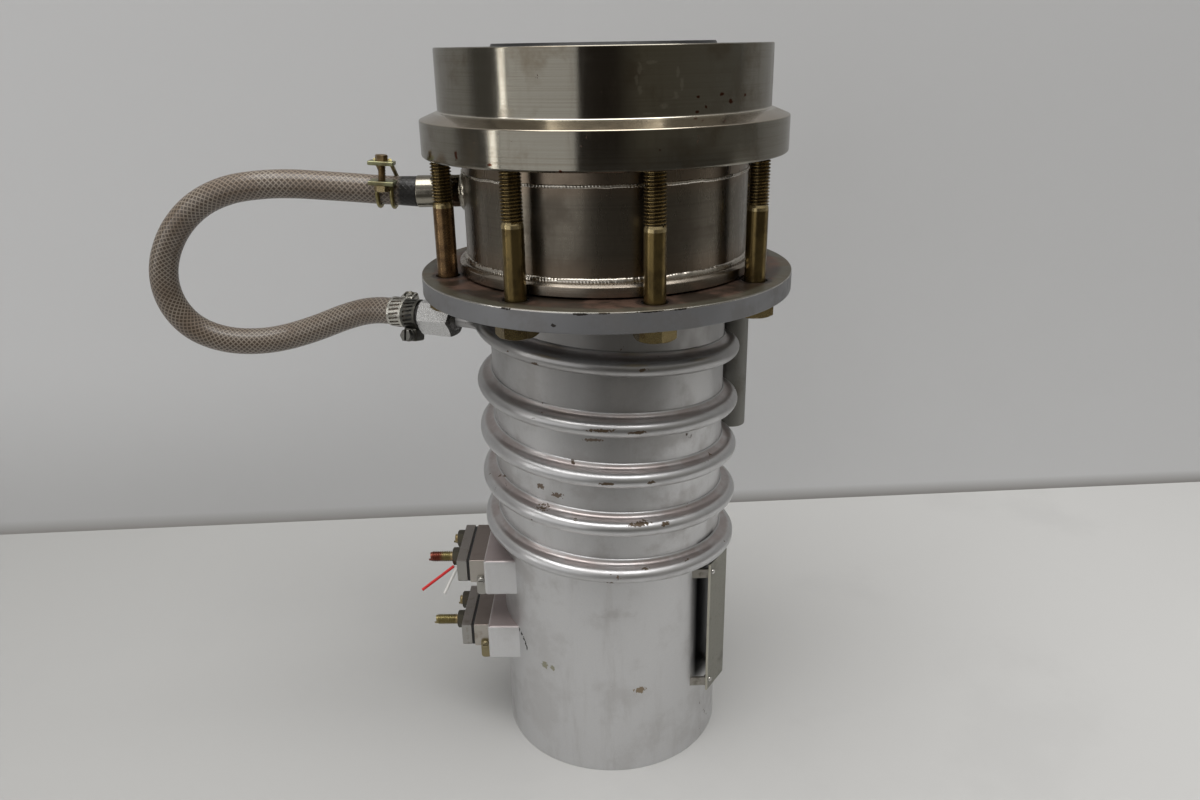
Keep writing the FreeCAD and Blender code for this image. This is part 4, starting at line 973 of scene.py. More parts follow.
def barbs(radius, low, high, count=3, bore=2.6):
    """A hose barb about the upright axis: saw-tooth rings that narrow towards its mouth."""
    tooth = (high - low) / count
    outline = [(bore, low)]
    for index in range(count):
        outline += [(radius - 0.8, low + index * tooth), (radius, low + (index + 0.35) * tooth, 0.15)]
    return turned(outline + [(radius - 0.9, high, 0.2), (bore, high)], 48)


def share_along(vector, direction):
    """How far a vector points along a direction."""
    return add_node(vector.tree, "VectorMath", {0: vector, 1: direction}, "Value", operation="DOT_PRODUCT")


def facing_way(place, direction):
    """How far the piece's surface faces a direction."""
    return share_along(add_node(place.tree, "TexCoord", None, "Normal"), direction)


def end_face_shade(place, colour):
    """Painted shade: the end of the inlet fitting that is soldered to the coil is darkened, as it lies in
    shadow.
    """
    dark = ramp(facing_way(place, -inlet_way), 0.15, 0.5) * ramp(parts_of(place)[2], 0.18, 0.20)
    return blend(dark * 0.8, colour, (0.07, 0.065, 0.06))


bright_steel = plain_finish("bright_steel", (0.56, 0.55, 0.53), 0.24, 1.0, (0.30, 0.27, 0.23), 0.35, 0.008)
fitting_steel = plain_finish("fitting_steel", (0.62, 0.62, 0.62), 0.26, 0.85, (0.44, 0.42, 0.39), 0.4, 0.01,
                             shade=end_face_shade)
solder_low = tube_radius - 0.3
for side, mouth, way in (("inlet", inlet_mouth, inlet_way), ("outlet", outlet_mouth, outlet_way)):
    bar = swung(hexagon_bar(fitting_flats, 0, fitting_length), 30)
    bar = carved(bar, rod(tube_radius + 0.05, -1, socket_depth))
    solder = turned([(solder_low, -1.8), (tube_radius + 0.4, -1.7, 0.2), (tube_radius + 2.2, 0.1, 0.2),
                     (solder_low, 0.1)], 48)
    bar = joined(bar, solder, barbs(barb_radius, fitting_length, fitting_length + fitting_barb))
    down = up_by(-1)
    turn = Matrix((down.cross(way), down, way)).transposed().to_4x4()
    set_in(bar, Matrix.Translation(mouth - way * socket_depth) @ turn)
    bmesh.ops.recalc_face_normals(bar, faces=bar.faces)
    place_piece("coil_" + side + "_hexagon", bar, fitting_steel, "bright_steel", "coil_" + side + "_fitting",
                crease=30)


# Switch pocket: a plain thick tube brazed upright across the coil, open at both ends.
# A thermal switch slides in from below.
pocket_radius = 8.0
pocket_wall = 1.5
pocket_base = 168.5
pocket_length = 78.0
pocket_angle = 23.6
pocket_paint = plain_finish("pocket_steel", (0.20, 0.197, 0.182), 0.42, 0.6, (0.13, 0.12, 0.10), 0.5, 0.02)
pocket = tube(pocket_radius - pocket_wall, pocket_radius, 0, pocket_length, 1.0, 0.3, 64)
moved(pocket, plan_ray(pocket_angle) * (coil_radius + tube_radius + pocket_radius) + up_by(pocket_base))
place_piece("switch_tube", pocket, pocket_paint, "grey_steel", "switch_pocket")


# Baffle: a water jacket of two steel tubes welded on a bottom ring, bead-blasted and browned by heat.
# The welds stand proud and bright. A sloped louver and a stop plate inside hide the jets.
ring_base = 269.8
ring_top = 275.5
ring_radius = 73.3
ring_chamfer = 1.3
inner_radius = 57.0
inner_bore = inner_radius - 3.0
shell_radius = 69.5
shell_bore = shell_radius - 3.0
disc_base = 324.8
nipple_level = 306.5
nipple_radius = 7.75
supply_angle = 180.0
return_angle = 82.5
louver_hole = 31.0
louver_base = 303.0
louver_rise = 9.0
louver_thickness = 2.0
stop_radius = 38.0
stop_base = 288.0
bead_steps = 900
ripple_pitch = 1.5
ripple_lean = 1.2
drift_scale = 9.0
swing_scale = 30.0
shell_brown = (0.205, 0.182, 0.148)
shell_dark = (0.135, 0.115, 0.092)
weld_bright = (0.56, 0.52, 0.46)
rust_speck = (0.07, 0.035, 0.02)

# Turning lines: the fine rings that a lathe tool leaves about the upright axis, Pitch apart.
turning, place, pitch = new_effect("turning_lines", "Pitch")
radius, turns, level = polar_parts(place)
wander = work_out("SINE", turns * (2 * math.pi)) * 1.3
lines = add_node(turning, "CombineXYZ", {0: wander, 1: radius / pitch, 2: level / pitch})
gives(turning, "Height", clouds(lines, 1.0, 4.0, 0.75))


def turned_metal(name, colour, stain, roughness, pitch=0.0006, relief=0.000012, share=0.5, shade=None,
                 rust=0.0, streak=0.5):
    """Bare metal with the lines of the lathe, clouds of stain and, where asked, specks of rust."""
    finish, shader, place = new_finish(name)
    line = effect(turning, place, pitch)
    cloud = effect(stains, place, 0.026, share)
    speck = effect(chips, place, 0.0016, rust)
    wiped = effect(wiping, place, 0.004)
    dull = blend(cloud * 0.7, colour, stain)
    dull = blend(ramp(line, 0.40, 0.75) * 0.5, dull, stain)
    dull = blend(ramp(wiped, 0.5, 0.75) * 0.35, dull, stain)
    if shade:
        dull = shade(place, dull)
    height = line * streak + effect(grain, place, 0.0008) * (1 - streak)
    feed(shader, {
        "Base Color": blend(speck, dull, rust_speck), "Metallic": speck * -0.8 + 1.0,
        "Roughness": speck * 0.4 + cloud * 0.08 + wiped * 0.16 + (roughness - 0.08),
        "Normal": bump(height, 0.6, relief)})
    return finish


def heat_tint(place, colour):
    """Brown heat colours spread from the two welds of the shell."""
    level = parts_of(place)[2]
    near_weld = work_out("MAXIMUM", 1.0 - ramp(level, 0.279, 0.290), ramp(level, 0.309, 0.3175))
    return blend(near_weld * 0.5, colour, (0.27, 0.205, 0.15))


shell_steel = turned_metal("blasted_shell", shell_brown, shell_dark, 0.28, 0.0011, 0.00002, shade=heat_tint,
                           streak=0.25)
ring_steel = turned_metal("turned_ring", (0.36, 0.32, 0.27), (0.20, 0.155, 0.12), 0.26, 0.0005)
nipple_holes = [aimed(rod(nipple_radius, 50, 90), (0, 0, nipple_level), plan_ray(angle))
                for angle in (supply_angle, return_angle)]
shell = carved(tube(shell_bore, shell_radius, ring_top, disc_base), joined(*nipple_holes))
ring = turned([
    (inner_radius, ring_base), (ring_radius, ring_base, 0.3), (ring_radius, ring_top - ring_chamfer, 0.25),
    (ring_radius - ring_chamfer, ring_top, 0.25), (inner_radius, ring_top)])
inner = turned([(inner_bore, ring_base, 0.3), (inner_radius, ring_base), (inner_radius, disc_base),
                (inner_bore, disc_base)])
for name, shape, finish in (("shell", shell, shell_steel), ("ring", ring, ring_steel),
                            ("inner_tube", inner, ring_steel)):
    place_piece("jacket_" + name, shape, finish, "blasted_steel", "baffle_" + name, crease=25)
louver_top = louver_base + louver_rise
louver = turned([
    (louver_hole, louver_top, 0.4), (inner_bore, louver_base), (inner_bore, louver_base + louver_thickness),
    (louver_hole, louver_top + louver_thickness, 0.4)])
place_piece("louver_cone", louver, ring_steel, "blasted_steel", "baffle_louver")
stop = rod(stop_radius, stop_base, stop_base + louver_thickness, 0.5, round_steps)
place_piece("stop_disc", stop, ring_steel, "blasted_steel", "baffle_stop_plate")
dress(ring_steel, "baffle_struts")


def weld_bead(outline, ripple=0.16, wander=0.5):
    """A bead laid round a seam: a turned outline whose crown ripples and wanders up and down."""
    bead = turned([(shell_radius + stand, *rest) for stand, *rest in outline], bead_steps)
    middle = sum(corner[1] for corner in outline) / len(outline)
    ripples = round(2 * math.pi * shell_radius / ripple_pitch)
    for vertex in bead.verts:
        way = Vector((vertex.co.x, vertex.co.y, 0)).normalized()
        angle = math.atan2(way.y, way.x)
        proud = max(0.0, vertex.co.xy.length - shell_radius)
        wave = math.cos(angle * ripples + (vertex.co.z - middle) * ripple_lean)
        drift = noise.noise(Vector((way.x, way.y, middle)) * drift_scale)
        swing = noise.noise(Vector((way.x, way.y, -middle)) * swing_scale)
        if vertex.co.z > middle or wander < 0.4:
            vertex.co.z += drift * wander + swing * wander * 0.6
        vertex.co += way * (wave * ripple + swing * 0.15) * min(1.0, proud / 0.5)
    return bead


weld_steel = plain_finish("weld_bead", weld_bright, 0.2, 1.0, (0.40, 0.30, 0.2), 0.4, 0.006, relief=0.00005)
lower_weld = weld_bead([(-0.3, ring_top - 0.2), (1.1, ring_top - 0.1, 0.4), (0.9, ring_top + 1.0, 0.5),
                        (0.4, ring_top + 1.9, 0.4), (-0.3, ring_top + 2.4)])
place_piece("lower_weld", lower_weld, weld_steel, "blasted_steel", crease=50)
upper_weld = weld_bead([(-0.3, 316.1), (0.3, 316.2, 0.15), (0.55, 316.9, 0.3), (0.35, 317.7, 0.2),
                        (-0.3, 317.8)], wander=0.35)
place_piece("upper_weld", upper_weld, weld_steel, "blasted_steel", crease=50)


# Water nipples: turned stubs of bright steel welded into the jacket, one at the left and one at the back.
# Each steps down to a barb that the hose is pushed over.
nipple_reach = 92.8
nipple_barb = 17.0
nipple_bore = 2.6
nipple_root = shell_bore - 0.5
nipple_bead = ((-0.4, -1.4), (2.6, -1.3, 0.8), (1.5, 0.9, 0.8), (-0.4, 2.2))
nipple_steel = turned_metal("nipple_steel", (0.33, 0.31, 0.26), (0.16, 0.13, 0.10), 0.16, 0.0005, share=0.4)
for name, angle in (("supply_nipple", supply_angle), ("return_nipple", return_angle)):
    stub = tube(nipple_bore, nipple_radius, nipple_root, nipple_reach, 0, 0.6, 64)
    barb = barbs(barb_radius, nipple_reach, nipple_reach + nipple_barb, 4, nipple_bore)
    bead = turned([(nipple_radius + out, shell_radius + along, *edge)
                   for out, along, *edge in nipple_bead], 96)
    for vertex in bead.verts:
        vertex.co.xy *= 1 + noise.noise(vertex.co * 0.9) * 0.035
    stub = aimed(joined(stub, barb, bead), (0, 0, nipple_level), plan_ray(angle))
    place_piece(name + "_stub", stub, nipple_steel, "bright_steel", name, crease=35)


# Adapter flange: one heavy turned piece of steel, a disc that the bolts are tapped into and a neck above it.
# Its faces keep the fine lines of the lathe under brown stains, and its bevel has a bright upper edge.
inlet_bore = 41.5
disc_radius = 88.0
disc_rim = 341.4
shoulder_level = 345.0
neck_radius = 79.2
adapter_top = 372.9
top_groove_inner = 49.0
top_groove_outer = 54.0
top_groove_floor = adapter_top - 2.8
bolt_tap = 5.0
bolt_tap_depth = 15.2
inlet_tap = 4.25
inlet_tap_depth = 20.0
inlet_tap_circle = 67.5
neck_steel = (0.285, 0.27, 0.23)
neck_stain = (0.18, 0.15, 0.11)
bevel_brown = (0.60, 0.52, 0.42)
bevel_line = (0.80, 0.76, 0.68)
arc_grey = (0.55, 0.53, 0.48)
pit_rust = (0.10, 0.035, 0.018)
pits = ((-61.1, 79.2, 352.4, 1.0, 0.7), (-58.1, 79.2, 348.3, 0.8, 0.7), (-51.9, 79.2, 353.1, 1.2, 0.8),
        (-47.9, 79.2, 350.0, 1.2, 1.1), (-40.9, 79.2, 352.0, 0.9, 0.7), (-61.4, 79.2, 346.6, 1.1, 0.6),
        (-136.0, 88.0, 330.0, 1.2, 2.2), (-122.6, 88.0, 327.2, 1.4, 0.6), (-101.8, 88.0, 325.6, 1.2, 0.6),
        (-75.5, 88.0, 333.3, 0.5, 0.5))
neck_arcs = ((-79.6, 79.2, 364.1, 1.2, 2.4), (-80.7, 79.2, 359.7, 0.8, 2.4), (-79.6, 79.2, 355.9, 1.0, 1.8),
             (-76.0, 79.2, 366.2, 2.4, 0.7), (-68.0, 79.2, 362.3, 0.9, 2.2), (-66.6, 79.2, 357.7, 0.8, 2.6),
             (-68.5, 79.2, 353.1, 1.2, 2.0), (-72.3, 79.2, 349.5, 2.2, 1.1), (-77.2, 79.2, 346.8, 3.0, 0.6))


def bevel_band(place, colour):
    """The bevel is light brown with a bright worn line under the neck; pits and faint arcs mark the sides."""
    level = parts_of(place)[2]
    colour = blend(between(level, 0.3411, 0.3415, 0.3450, 0.3453) * 0.75, colour, bevel_brown)
    colour = blend(between(level, 0.3441, 0.3445, 0.3453, 0.3457) * 0.7, colour, bevel_line)
    colour = blend(bared(place, neck_arcs) * 0.3, colour, arc_grey)
    return blend(bared(place, pits), colour, pit_rust)


adapter_steel = turned_metal("adapter_steel", neck_steel, neck_stain, 0.13, 0.0007, 0.000014, 0.55,
                             bevel_band, rust=0.12)
adapter = turned([
    (inlet_bore, disc_base, 0.3), (disc_radius, disc_base, 1.2), (disc_radius, disc_rim, 0.5),
    (neck_radius, shoulder_level, 0.3), (neck_radius, adapter_top, 0.7), (top_groove_outer, adapter_top),
    (top_groove_outer, top_groove_floor), (top_groove_inner, top_groove_floor),
    (top_groove_inner, adapter_top), (inlet_bore, adapter_top, 0.3)])
lower_taps = ring_of_rods(bolt_tap, bolt_circle, disc_base - 5, disc_base + bolt_tap_depth, bolt_count,
                          first_bolt_angle)
upper_taps = ring_of_rods(inlet_tap, inlet_tap_circle, adapter_top - inlet_tap_depth, adapter_top + 5, 4, 45)
place_piece("adapter_body", carved(adapter, joined(lower_taps, upper_taps)), adapter_steel, "machined_steel",
            "adapter_flange", crease=25)
dress(black_rubber, "top_o_ring")


# Flange bolts: eight long hexagon bolts of yellow-passivated steel, up through the flange into the adapter.
# Their thread ends in a bright run-out a little below the adapter; the shanks are stained brown.
bolt_radius = 4.95
bolt_end = 337.4
bolt_head_flats = 17.0
bolt_head_height = 6.5
thread_pitch = 1.5
thread_depth = 0.85
thread_feet = (304.0, 304.6, 300.4, 299.2, 303.4, 302.0, 301.0, 303.0)
rusty_bolt = 4
zinc_gold = (0.38, 0.30, 0.155)


def threaded(radius, low, high, pitch, depth, steps=32, tip=False):
    """A screw thread about the upright axis: its profile makes one turn while it climbs one pitch."""
    shape = bmesh.new()
    root = radius - depth
    previous = None
    for index in range(round((high - low) / pitch)):
        for across, rise in ((root, 0.0), (root, 0.12), (radius, 0.48), (radius, 0.62), (root, 0.98)):
            vertex = shape.verts.new((across, 0, low + (index + rise) * pitch))
            if previous:
                shape.edges.new((previous, vertex))
            previous = vertex
    spun(shape, shape.verts[:] + shape.edges[:], 2 * math.pi, steps, pitch / steps)
    bmesh.ops.remove_doubles(shape, verts=shape.verts, dist=0.002)
    for vertex in shape.verts:
        reach = vertex.co.xy.length
        limit = radius if not tip else max(root, min(radius, root + (high - vertex.co.z) * 0.8))
        if reach > limit:
            vertex.co.xy *= limit / reach
    bmesh.ops.recalc_face_normals(shape, faces=shape.faces)
    core = rod(root + 0.04, low - 0.2, high + (0.1 if tip else pitch), 0.3 if tip else 0.0, steps)
    return joined(shape, core)


def zinc(name, colour, stain, roughness=0.34, share=0.6, metallic=0.9, shade=None):
    """Yellow-passivated steel under brown stains."""
    return plain_finish(name, colour, roughness, metallic, stain, share, 0.007, 0.0005, 0.00004, shade)


def thread_root_shade(place, colour):
    """Painted shade in the roots of the bolts' threads."""
    radius, turns, level = polar_parts(place)
    root = 1.0 - ramp(bolt_distance(radius, turns), 0.00425, 0.0049)
    return blend(root * 0.75, colour, (0.018, 0.013, 0.008))


thread_gold = zinc("thread_gold", (0.31, 0.225, 0.095), (0.14, 0.09, 0.04), 0.26, 0.5, shade=thread_root_shade)
shank_olive = zinc("shank_olive", (0.205, 0.148, 0.058), (0.10, 0.07, 0.03), 0.22)
shank_rust = zinc("shank_rust", (0.235, 0.145, 0.07), (0.11, 0.065, 0.035), 0.26)
collar_gold = zinc("collar_gold", (0.46, 0.37, 0.20), zinc_gold, 0.24, 0.4)
head_brass = zinc("head_brass", (0.215, 0.165, 0.075), (0.11, 0.075, 0.035), 0.26)
bolt_parts = {"shanks": [], "rusty": [], "threads": [], "run_outs": [], "heads": []}
for index, foot in enumerate(thread_feet):
    angle = first_bolt_angle + index * 360 / bolt_count
    low = foot - 1.6
    run_out = turned([(0, low), (bolt_radius, low), (bolt_radius - 0.1, foot - 0.2, 0.2),
                      (bolt_radius - 0.62, foot + 1.0), (0, foot + 1.0)], 48)
    head = hexagon_bar(bolt_head_flats, flange_base - bolt_head_height, flange_base, chamfer_high=False)
    thread = threaded(bolt_radius, foot, bolt_end, thread_pitch, thread_depth)
    shank = rod(bolt_radius, flange_base, low, steps=48)
    for part, shape in (("threads", thread), ("run_outs", run_out), ("heads", head),
                        ("rusty" if index == rusty_bolt else "shanks", shank)):
        bolt_parts[part].append(moved(swung(shape, angle + 30), plan_ray(angle) * bolt_circle))
place_piece("bolt_shanks", joined(*bolt_parts["shanks"]), shank_olive, "yellow_zinc", "flange_bolts")
place_piece("rusty_shank", joined(*bolt_parts["rusty"]), shank_rust, "yellow_zinc")
place_piece("bolt_threads", joined(*bolt_parts["threads"]), thread_gold, "yellow_zinc")
place_piece("bolt_run_outs", joined(*bolt_parts["run_outs"]), collar_gold, "yellow_zinc")
place_piece("bolt_heads", joined(*bolt_parts["heads"]), head_brass, "yellow_zinc", crease=15)


# Wire clamp: two hoops of round wire on the upper hose end, passivated gold and green.
# Their tails run up to a bridge; a long screw draws it down on a saddle with a captive nut.
wire_radius = 1.0
hoop_gap = 3.5
tail_angle = 121.2
tail_reaches = (17.2, 15.0, 12.0, 8.0, 4.0)
hoop_turn = 276.8
screw_offset = 12.5
saddle_low = 4.2
bridge_low = 13.6
plate_thick = 2.0
saddle_half = 6.25
saddle_edge = 15.8
screw_radius = 1.9
screw_bore = screw_radius + 0.05


def clamp_frame(joint_name, offset):
    """The frame of a clamp: Z along the hose, X towards its screw and Y along the screw."""
    joint = next(item for item in frame["record"]["behaviour"]["joints"] if item["name"] == joint_name)
    centre = Vector(joint["pos_m"]) / MM
    along_screw = Vector(joint["axis"]).normalized()
    ways = [first.lerp(second, share / 8) - centre for first, second in zip(hose_line, hose_line[1:])
            for share in range(8)]
    outward = -min(ways, key=lambda way: abs(way.length - offset) + abs(way.dot(along_screw))).normalized()
    turn = Matrix((outward, along_screw, outward.cross(along_screw))).transposed().to_4x4()
    return Matrix.Translation(centre - outward * offset) @ turn


def upright_to_y(shape, x=0.0):
    """Turns a shape made about the upright axis to stand along Y, at x."""
    return moved(swung(shape, -90, "X"), (x, 0, 0))


wire_frame = clamp_frame("wire_clamp_turn", screw_offset)
hoop_mid = hose_radius + wire_radius
leave = plan_ray(tail_angle)
hoops = []
for level in (-hoop_gap, hoop_gap):
    points = [leave * hoop_mid + Vector((leave.y, -leave.x, level / reach)) * reach for reach in tail_reaches]
    points += [plan_ray(tail_angle + hoop_turn * step / 40) * hoop_mid + up_by(level) for step in range(41)]
    hoops.append(sweep(points, wire_radius, 16))
wire_gold = zinc("wire_gold", (0.33, 0.285, 0.13), (0.10, 0.09, 0.05), 0.3)
saddle_green = zinc("saddle_green", (0.34, 0.34, 0.20), (0.16, 0.13, 0.07), 0.36)
screw_brown = zinc("screw_brown", (0.30, 0.21, 0.10), (0.12, 0.08, 0.045), 0.34)
place_piece("wire_hoops", set_in(joined(*hoops), wire_frame), wire_gold, "yellow_zinc", "wire_clamp_hoops")
bridge, saddle = [
    carved(block((left, low, -saddle_half), (saddle_edge, low + plate_thick, saddle_half), 0.55, 3),
           upright_to_y(rod(screw_bore, -5, 25), screw_offset))
    for left, low in ((screw_offset - 3.3, bridge_low), (4, saddle_low))]
saddle = carved(saddle, rod(hose_radius + 2 * wire_radius, -20, 20, steps=64))
for name, shape in (("bridge", bridge), ("saddle", saddle)):
    place_piece("wire_" + name, set_in(shape, wire_frame), saddle_green, "yellow_zinc", "wire_clamp_" + name,
                crease=30)
nut_low = saddle_low - 3.0
nut = carved(hexagon_bar(6.6, nut_low, saddle_low, chamfer_high=False), rod(screw_bore, -5, 25))
place_piece("wire_nut", set_in(upright_to_y(nut, screw_offset), wire_frame), collar_gold, "yellow_zinc",
            "wire_clamp_nut", crease=20)
head_low = bridge_low + plate_thick + 0.05
screw = joined(threaded(screw_radius, nut_low + 0.2, head_low - 0.8, 0.7, 0.4, 24),
               hexagon_bar(5.2, head_low, head_low + 2.8, chamfer_low=False),
               rod(screw_radius, head_low - 1.2, head_low, steps=24),
               rod(screw_radius - 0.3, nut_low, nut_low + 1, 0.2, 24))
place_piece("wire_screw", set_in(upright_to_y(screw, screw_offset), wire_frame), screw_brown, "yellow_zinc",
            "wire_clamp_screw", body="wire_clamp_screw_body", crease=20)


# Worm clamps: two slotted steel bands round the lower hose end, the inner one dark and the outer one bright.
# A worm in a pressed housing bites into the slots; its head is hexagonal with a slot for a screwdriver.
band_half = 4.3
band_radius = hose_radius + 0.8
worm_offset = 10.7
worm_radius = 2.6
worm_half = 4.5
worm_head_radius = 3.4
worm_head_height = 4.2
house_low = 7.0
house_high = 14.0
house_half = 4.0
slot_step = 17.0
slot_slant = 12.0
slot_start = 35.0
slot_count = 18


def worm_clamp(prefix, band_metal, screw_metal, slot):
    """One worm clamp: band, housing and worm, set on the hose."""
    place = clamp_frame(prefix + "_clamp_turn", worm_offset)
    band = turned([(hose_radius, -band_half, 0.15), (band_radius, -band_half, 0.25),
                   (band_radius, band_half, 0.25), (hose_radius, band_half, 0.15)], 96)
    cutters = []
    for index in range(slot_count):
        cutter = block((band_radius - 2, -0.55, -2.9), (band_radius + 2, 0.55, 2.9), 0.35)
        cutters.append(swung(swung(cutter, slot_slant, "X"), slot_start + index * slot_step))
    band = set_in(carved(band, joined(*cutters)), place)
    place_piece(prefix + "_band", band, band_metal, slot, prefix + "_clamp_band", crease=30)
    house = block((house_low, -worm_half, -house_half), (house_high, worm_half, house_half), 1.3, 4)
    house = carved(house, rod(band_radius, -20, 20, steps=96))
    house = set_in(carved(house, upright_to_y(rod(worm_radius + 0.2, -10, 10), worm_offset)), place)
    place_piece(prefix + "_housing", house, band_metal, slot, prefix + "_clamp_housing", crease=30)
    start = -worm_half - 0.12
    head_end = start - worm_head_height
    head = hexagon_bar(2 * worm_head_radius * 0.85, head_end, start - 1.0, chamfer_high=False)
    head = carved(head, block((-5, -0.6, head_end - 1), (5, 0.6, head_end + 1.6)))
    washer = tube(0, worm_head_radius, start - 1.2, start, 0.3, 0.2, 48)
    thread = threaded(worm_radius, start + 0.4, worm_half - 0.4, 1.6, 0.7, 32, tip=True)
    neck = rod(worm_radius - 0.6, start - 0.1, start + 0.8)
    worm = set_in(upright_to_y(joined(head, washer, thread, neck), worm_offset), place)
    place_piece(prefix + "_worm", worm, screw_metal, slot, prefix + "_clamp_screw",
                body=prefix + "_clamp_screw_body", crease=20)


band_bright = plain_finish("band_bright", (0.52, 0.505, 0.46), 0.25, 1.0, (0.30, 0.29, 0.22), 0.5, 0.006)
band_dark = plain_finish("band_dark", (0.10, 0.097, 0.085), 0.34, 0.85, (0.045, 0.038, 0.03), 0.5, 0.005)
worm_grey = plain_finish("worm_grey", (0.14, 0.137, 0.125), 0.34, 0.9, (0.06, 0.05, 0.04), 0.5, 0.004)
worm_clamp("dark", band_dark, worm_grey, "dark_steel")
worm_clamp("bright", band_bright, band_bright, "bright_steel")


# Terminal units: two alike on the left of the skirt, one above the other. Each is a silver-painted cast
# block welded to the barrel, a zinc box, a dark gasket and an end plate with two brass studs and nuts.
block_left = -barrel_radius - 7.5
block_front = 33.0
block_back = 10.0
block_height = 21.0
box_left = block_left - 8.8
box_front = 26.0
box_back = 15.0
box_height = 13.8
box_rise = 3.8
gasket_left = box_left - 1.2
gasket_inset = 0.7
end_left = gasket_left - 5.5
end_round = 2.6
stud_radius = 2.9
stud_rise = 12.4
stud_places = ((-12.0, 16.5), (8.0, 6.0))
nut_flats = 8.5
nut_height = 4.0
pink_dust = (0.24, 0.18, 0.175)
brown_dust = (0.17, 0.132, 0.118)


def dust_of(dust, share):
    """A coat of dust on the faces that look up."""
    def dusted(place, colour):
        looking_up = parts_of(add_node(place.tree, "NewGeometry", None, "Normal"))[2]
        return blend(ramp(looking_up, 0.4, 0.9) * share, colour, dust)
    return dusted


def stud_colours(place, colour):
    """The studs are pale gold at their root; the upper unit's are reddish brown at the tip."""
    x, y, level = parts_of(place)
    colour = blend(ramp(x, -0.0895, -0.0880), colour, (0.50, 0.41, 0.24))
    tip = (1.0 - ramp(x, -0.0955, -0.0920)) * ramp(level, 0.085, 0.095)
    return blend(tip, colour, (0.21, 0.06, 0.038))


block_paint = silver_paint("block_paint", 0.15, 0.1, 0.004, dust_of(pink_dust, 0.8), 0.4)
box_zinc = plain_finish("box_zinc", (0.44, 0.41, 0.37), 0.36, 0.7, (0.30, 0.26, 0.22), 0.5, 0.007,
                        shade=dust_of(brown_dust, 0.85))
end_zinc = plain_finish("end_zinc", (0.36, 0.35, 0.33), 0.36, 0.85, (0.22, 0.19, 0.16), 0.5, 0.006,
                        shade=dust_of(brown_dust, 0.5))
stud_brass = zinc("stud_brass", (0.27, 0.225, 0.10), (0.17, 0.12, 0.06), 0.3, 0.5, 0.75, shade=stud_colours)
nut_dark = plain_finish("nut_dark", (0.085, 0.078, 0.06), 0.36, 0.85, (0.09, 0.07, 0.05), 0.5, 0.004)
for prefix, base in (("lower", unit_bases[0]), ("upper", unit_bases[1])):
    low = base + box_rise
    high = low + box_height
    cast = block((block_left, -block_front, base), (0, block_back, base + block_height), 1.6, 3)
    cast = carved(cast, rod(barrel_radius, 0, 200, steps=round_steps))
    box = block((box_left, -box_front, low), (block_left, box_back, high), 0.7, 3)
    pad = block((gasket_left, gasket_inset - box_front, low + gasket_inset),
                (box_left, box_back - gasket_inset, high - gasket_inset), 0.3)
    plate = block((end_left, -box_front, low), (gasket_left, box_back, high))
    low_edges = [edge for edge in plate.edges if abs(edge.verts[0].co.x - edge.verts[1].co.x) > 1
                 and max(vertex.co.z for vertex in edge.verts) < low + 1]
    rounded(plate, low_edges, end_round, 6)
    rounded(plate, [edge for edge in plate.edges if edge.calc_face_angle() > math.radians(40)], 0.5, 2)
    for name, shape, finish, slot in (
            ("block", cast, block_paint, "silver_paint"), ("box", box, box_zinc, "grey_steel"),
            ("gasket", pad, black_rubber, "black_rubber"), ("end_plate", plate, end_zinc, "grey_steel")):
        place_piece(prefix + "_" + name, shape, finish, slot, prefix + "_terminal_" + name, crease=30)
    studs = []
    nuts = []
    for across, length in stud_places:
        spot = (end_left, across, base + stud_rise)
        studs.append(aimed(threaded(stud_radius, 0.4, length - 0.4, 1.0, 0.5, tip=True), spot, (-1, 0, 0)))
        nut = swung(hexagon_bar(nut_flats, 0, nut_height, chamfer_low=False), 30)
        nuts.append(aimed(carved(nut, rod(stud_radius - 0.4, -1, 10)), spot, (-1, 0, 0)))
    place_piece(prefix + "_studs", joined(*studs), stud_brass, "yellow_zinc", prefix + "_terminal_studs")
    place_piece(prefix + "_nuts", joined(*nuts), nut_dark, "dark_steel", prefix + "_terminal_nuts", crease=20)


# Earth screws and lugs: on the front of each box a pan-head screw holds a bent lug of sheet metal.
# The lower lug is brass, the upper one grey.
lug_half = 2.5
lug_thick = 0.9
lug_drop = 9.0
lug_crown = 2.5
earth_radius = 2.2
earth_height = 1.8
earth_x = block_left - earth_radius - 0.4
screws = []
lugs = []


def domed_head(radius, height, foot_edge, crown_edge, steps):
    """The low domed head of a screw or rivet."""
    return turned([(0, 0), (radius, 0, foot_edge), (radius - 0.3, height, crown_edge), (0, height)], steps)


for base in unit_bases:
    spot = Vector((earth_x, -box_front, base + box_rise + earth_radius))
    lug = block((-lug_half, -lug_thick, -lug_drop), (lug_half, 0, lug_crown))
    rounded(lug, [edge for edge in lug.edges if abs(edge.verts[0].co.y - edge.verts[1].co.y) > 0.5], 1.6, 4)
    lugs.append(moved(lug, spot))
    head = domed_head(earth_radius, earth_height, 0.2, 0.8, 40)
    head = carved(head, block((-1.3, -0.28, earth_height - 0.8), (1.3, 0.28, earth_height + 1)))
    screws.append(aimed(head, spot + Vector((0, -lug_thick, 0)), (0, -1, 0)))


def upper_grey(place, colour):
    """What belongs to the upper unit is grey, not gold."""
    return blend(ramp(parts_of(place)[2], 0.080, 0.081), colour, (0.40, 0.39, 0.36))


lug_brass = zinc("lug_brass", (0.28, 0.24, 0.14), (0.17, 0.145, 0.09), 0.36, shade=upper_grey)
screw_brass = zinc("screw_brass", (0.34, 0.29, 0.17), (0.19, 0.16, 0.10), 0.34, shade=upper_grey)
place_piece("earth_lug_plates", joined(*lugs), lug_brass, "yellow_zinc", "earth_lugs", crease=30)
place_piece("earth_screw_heads", joined(*screws), screw_brass, "yellow_zinc", "earth_screws", crease=30)


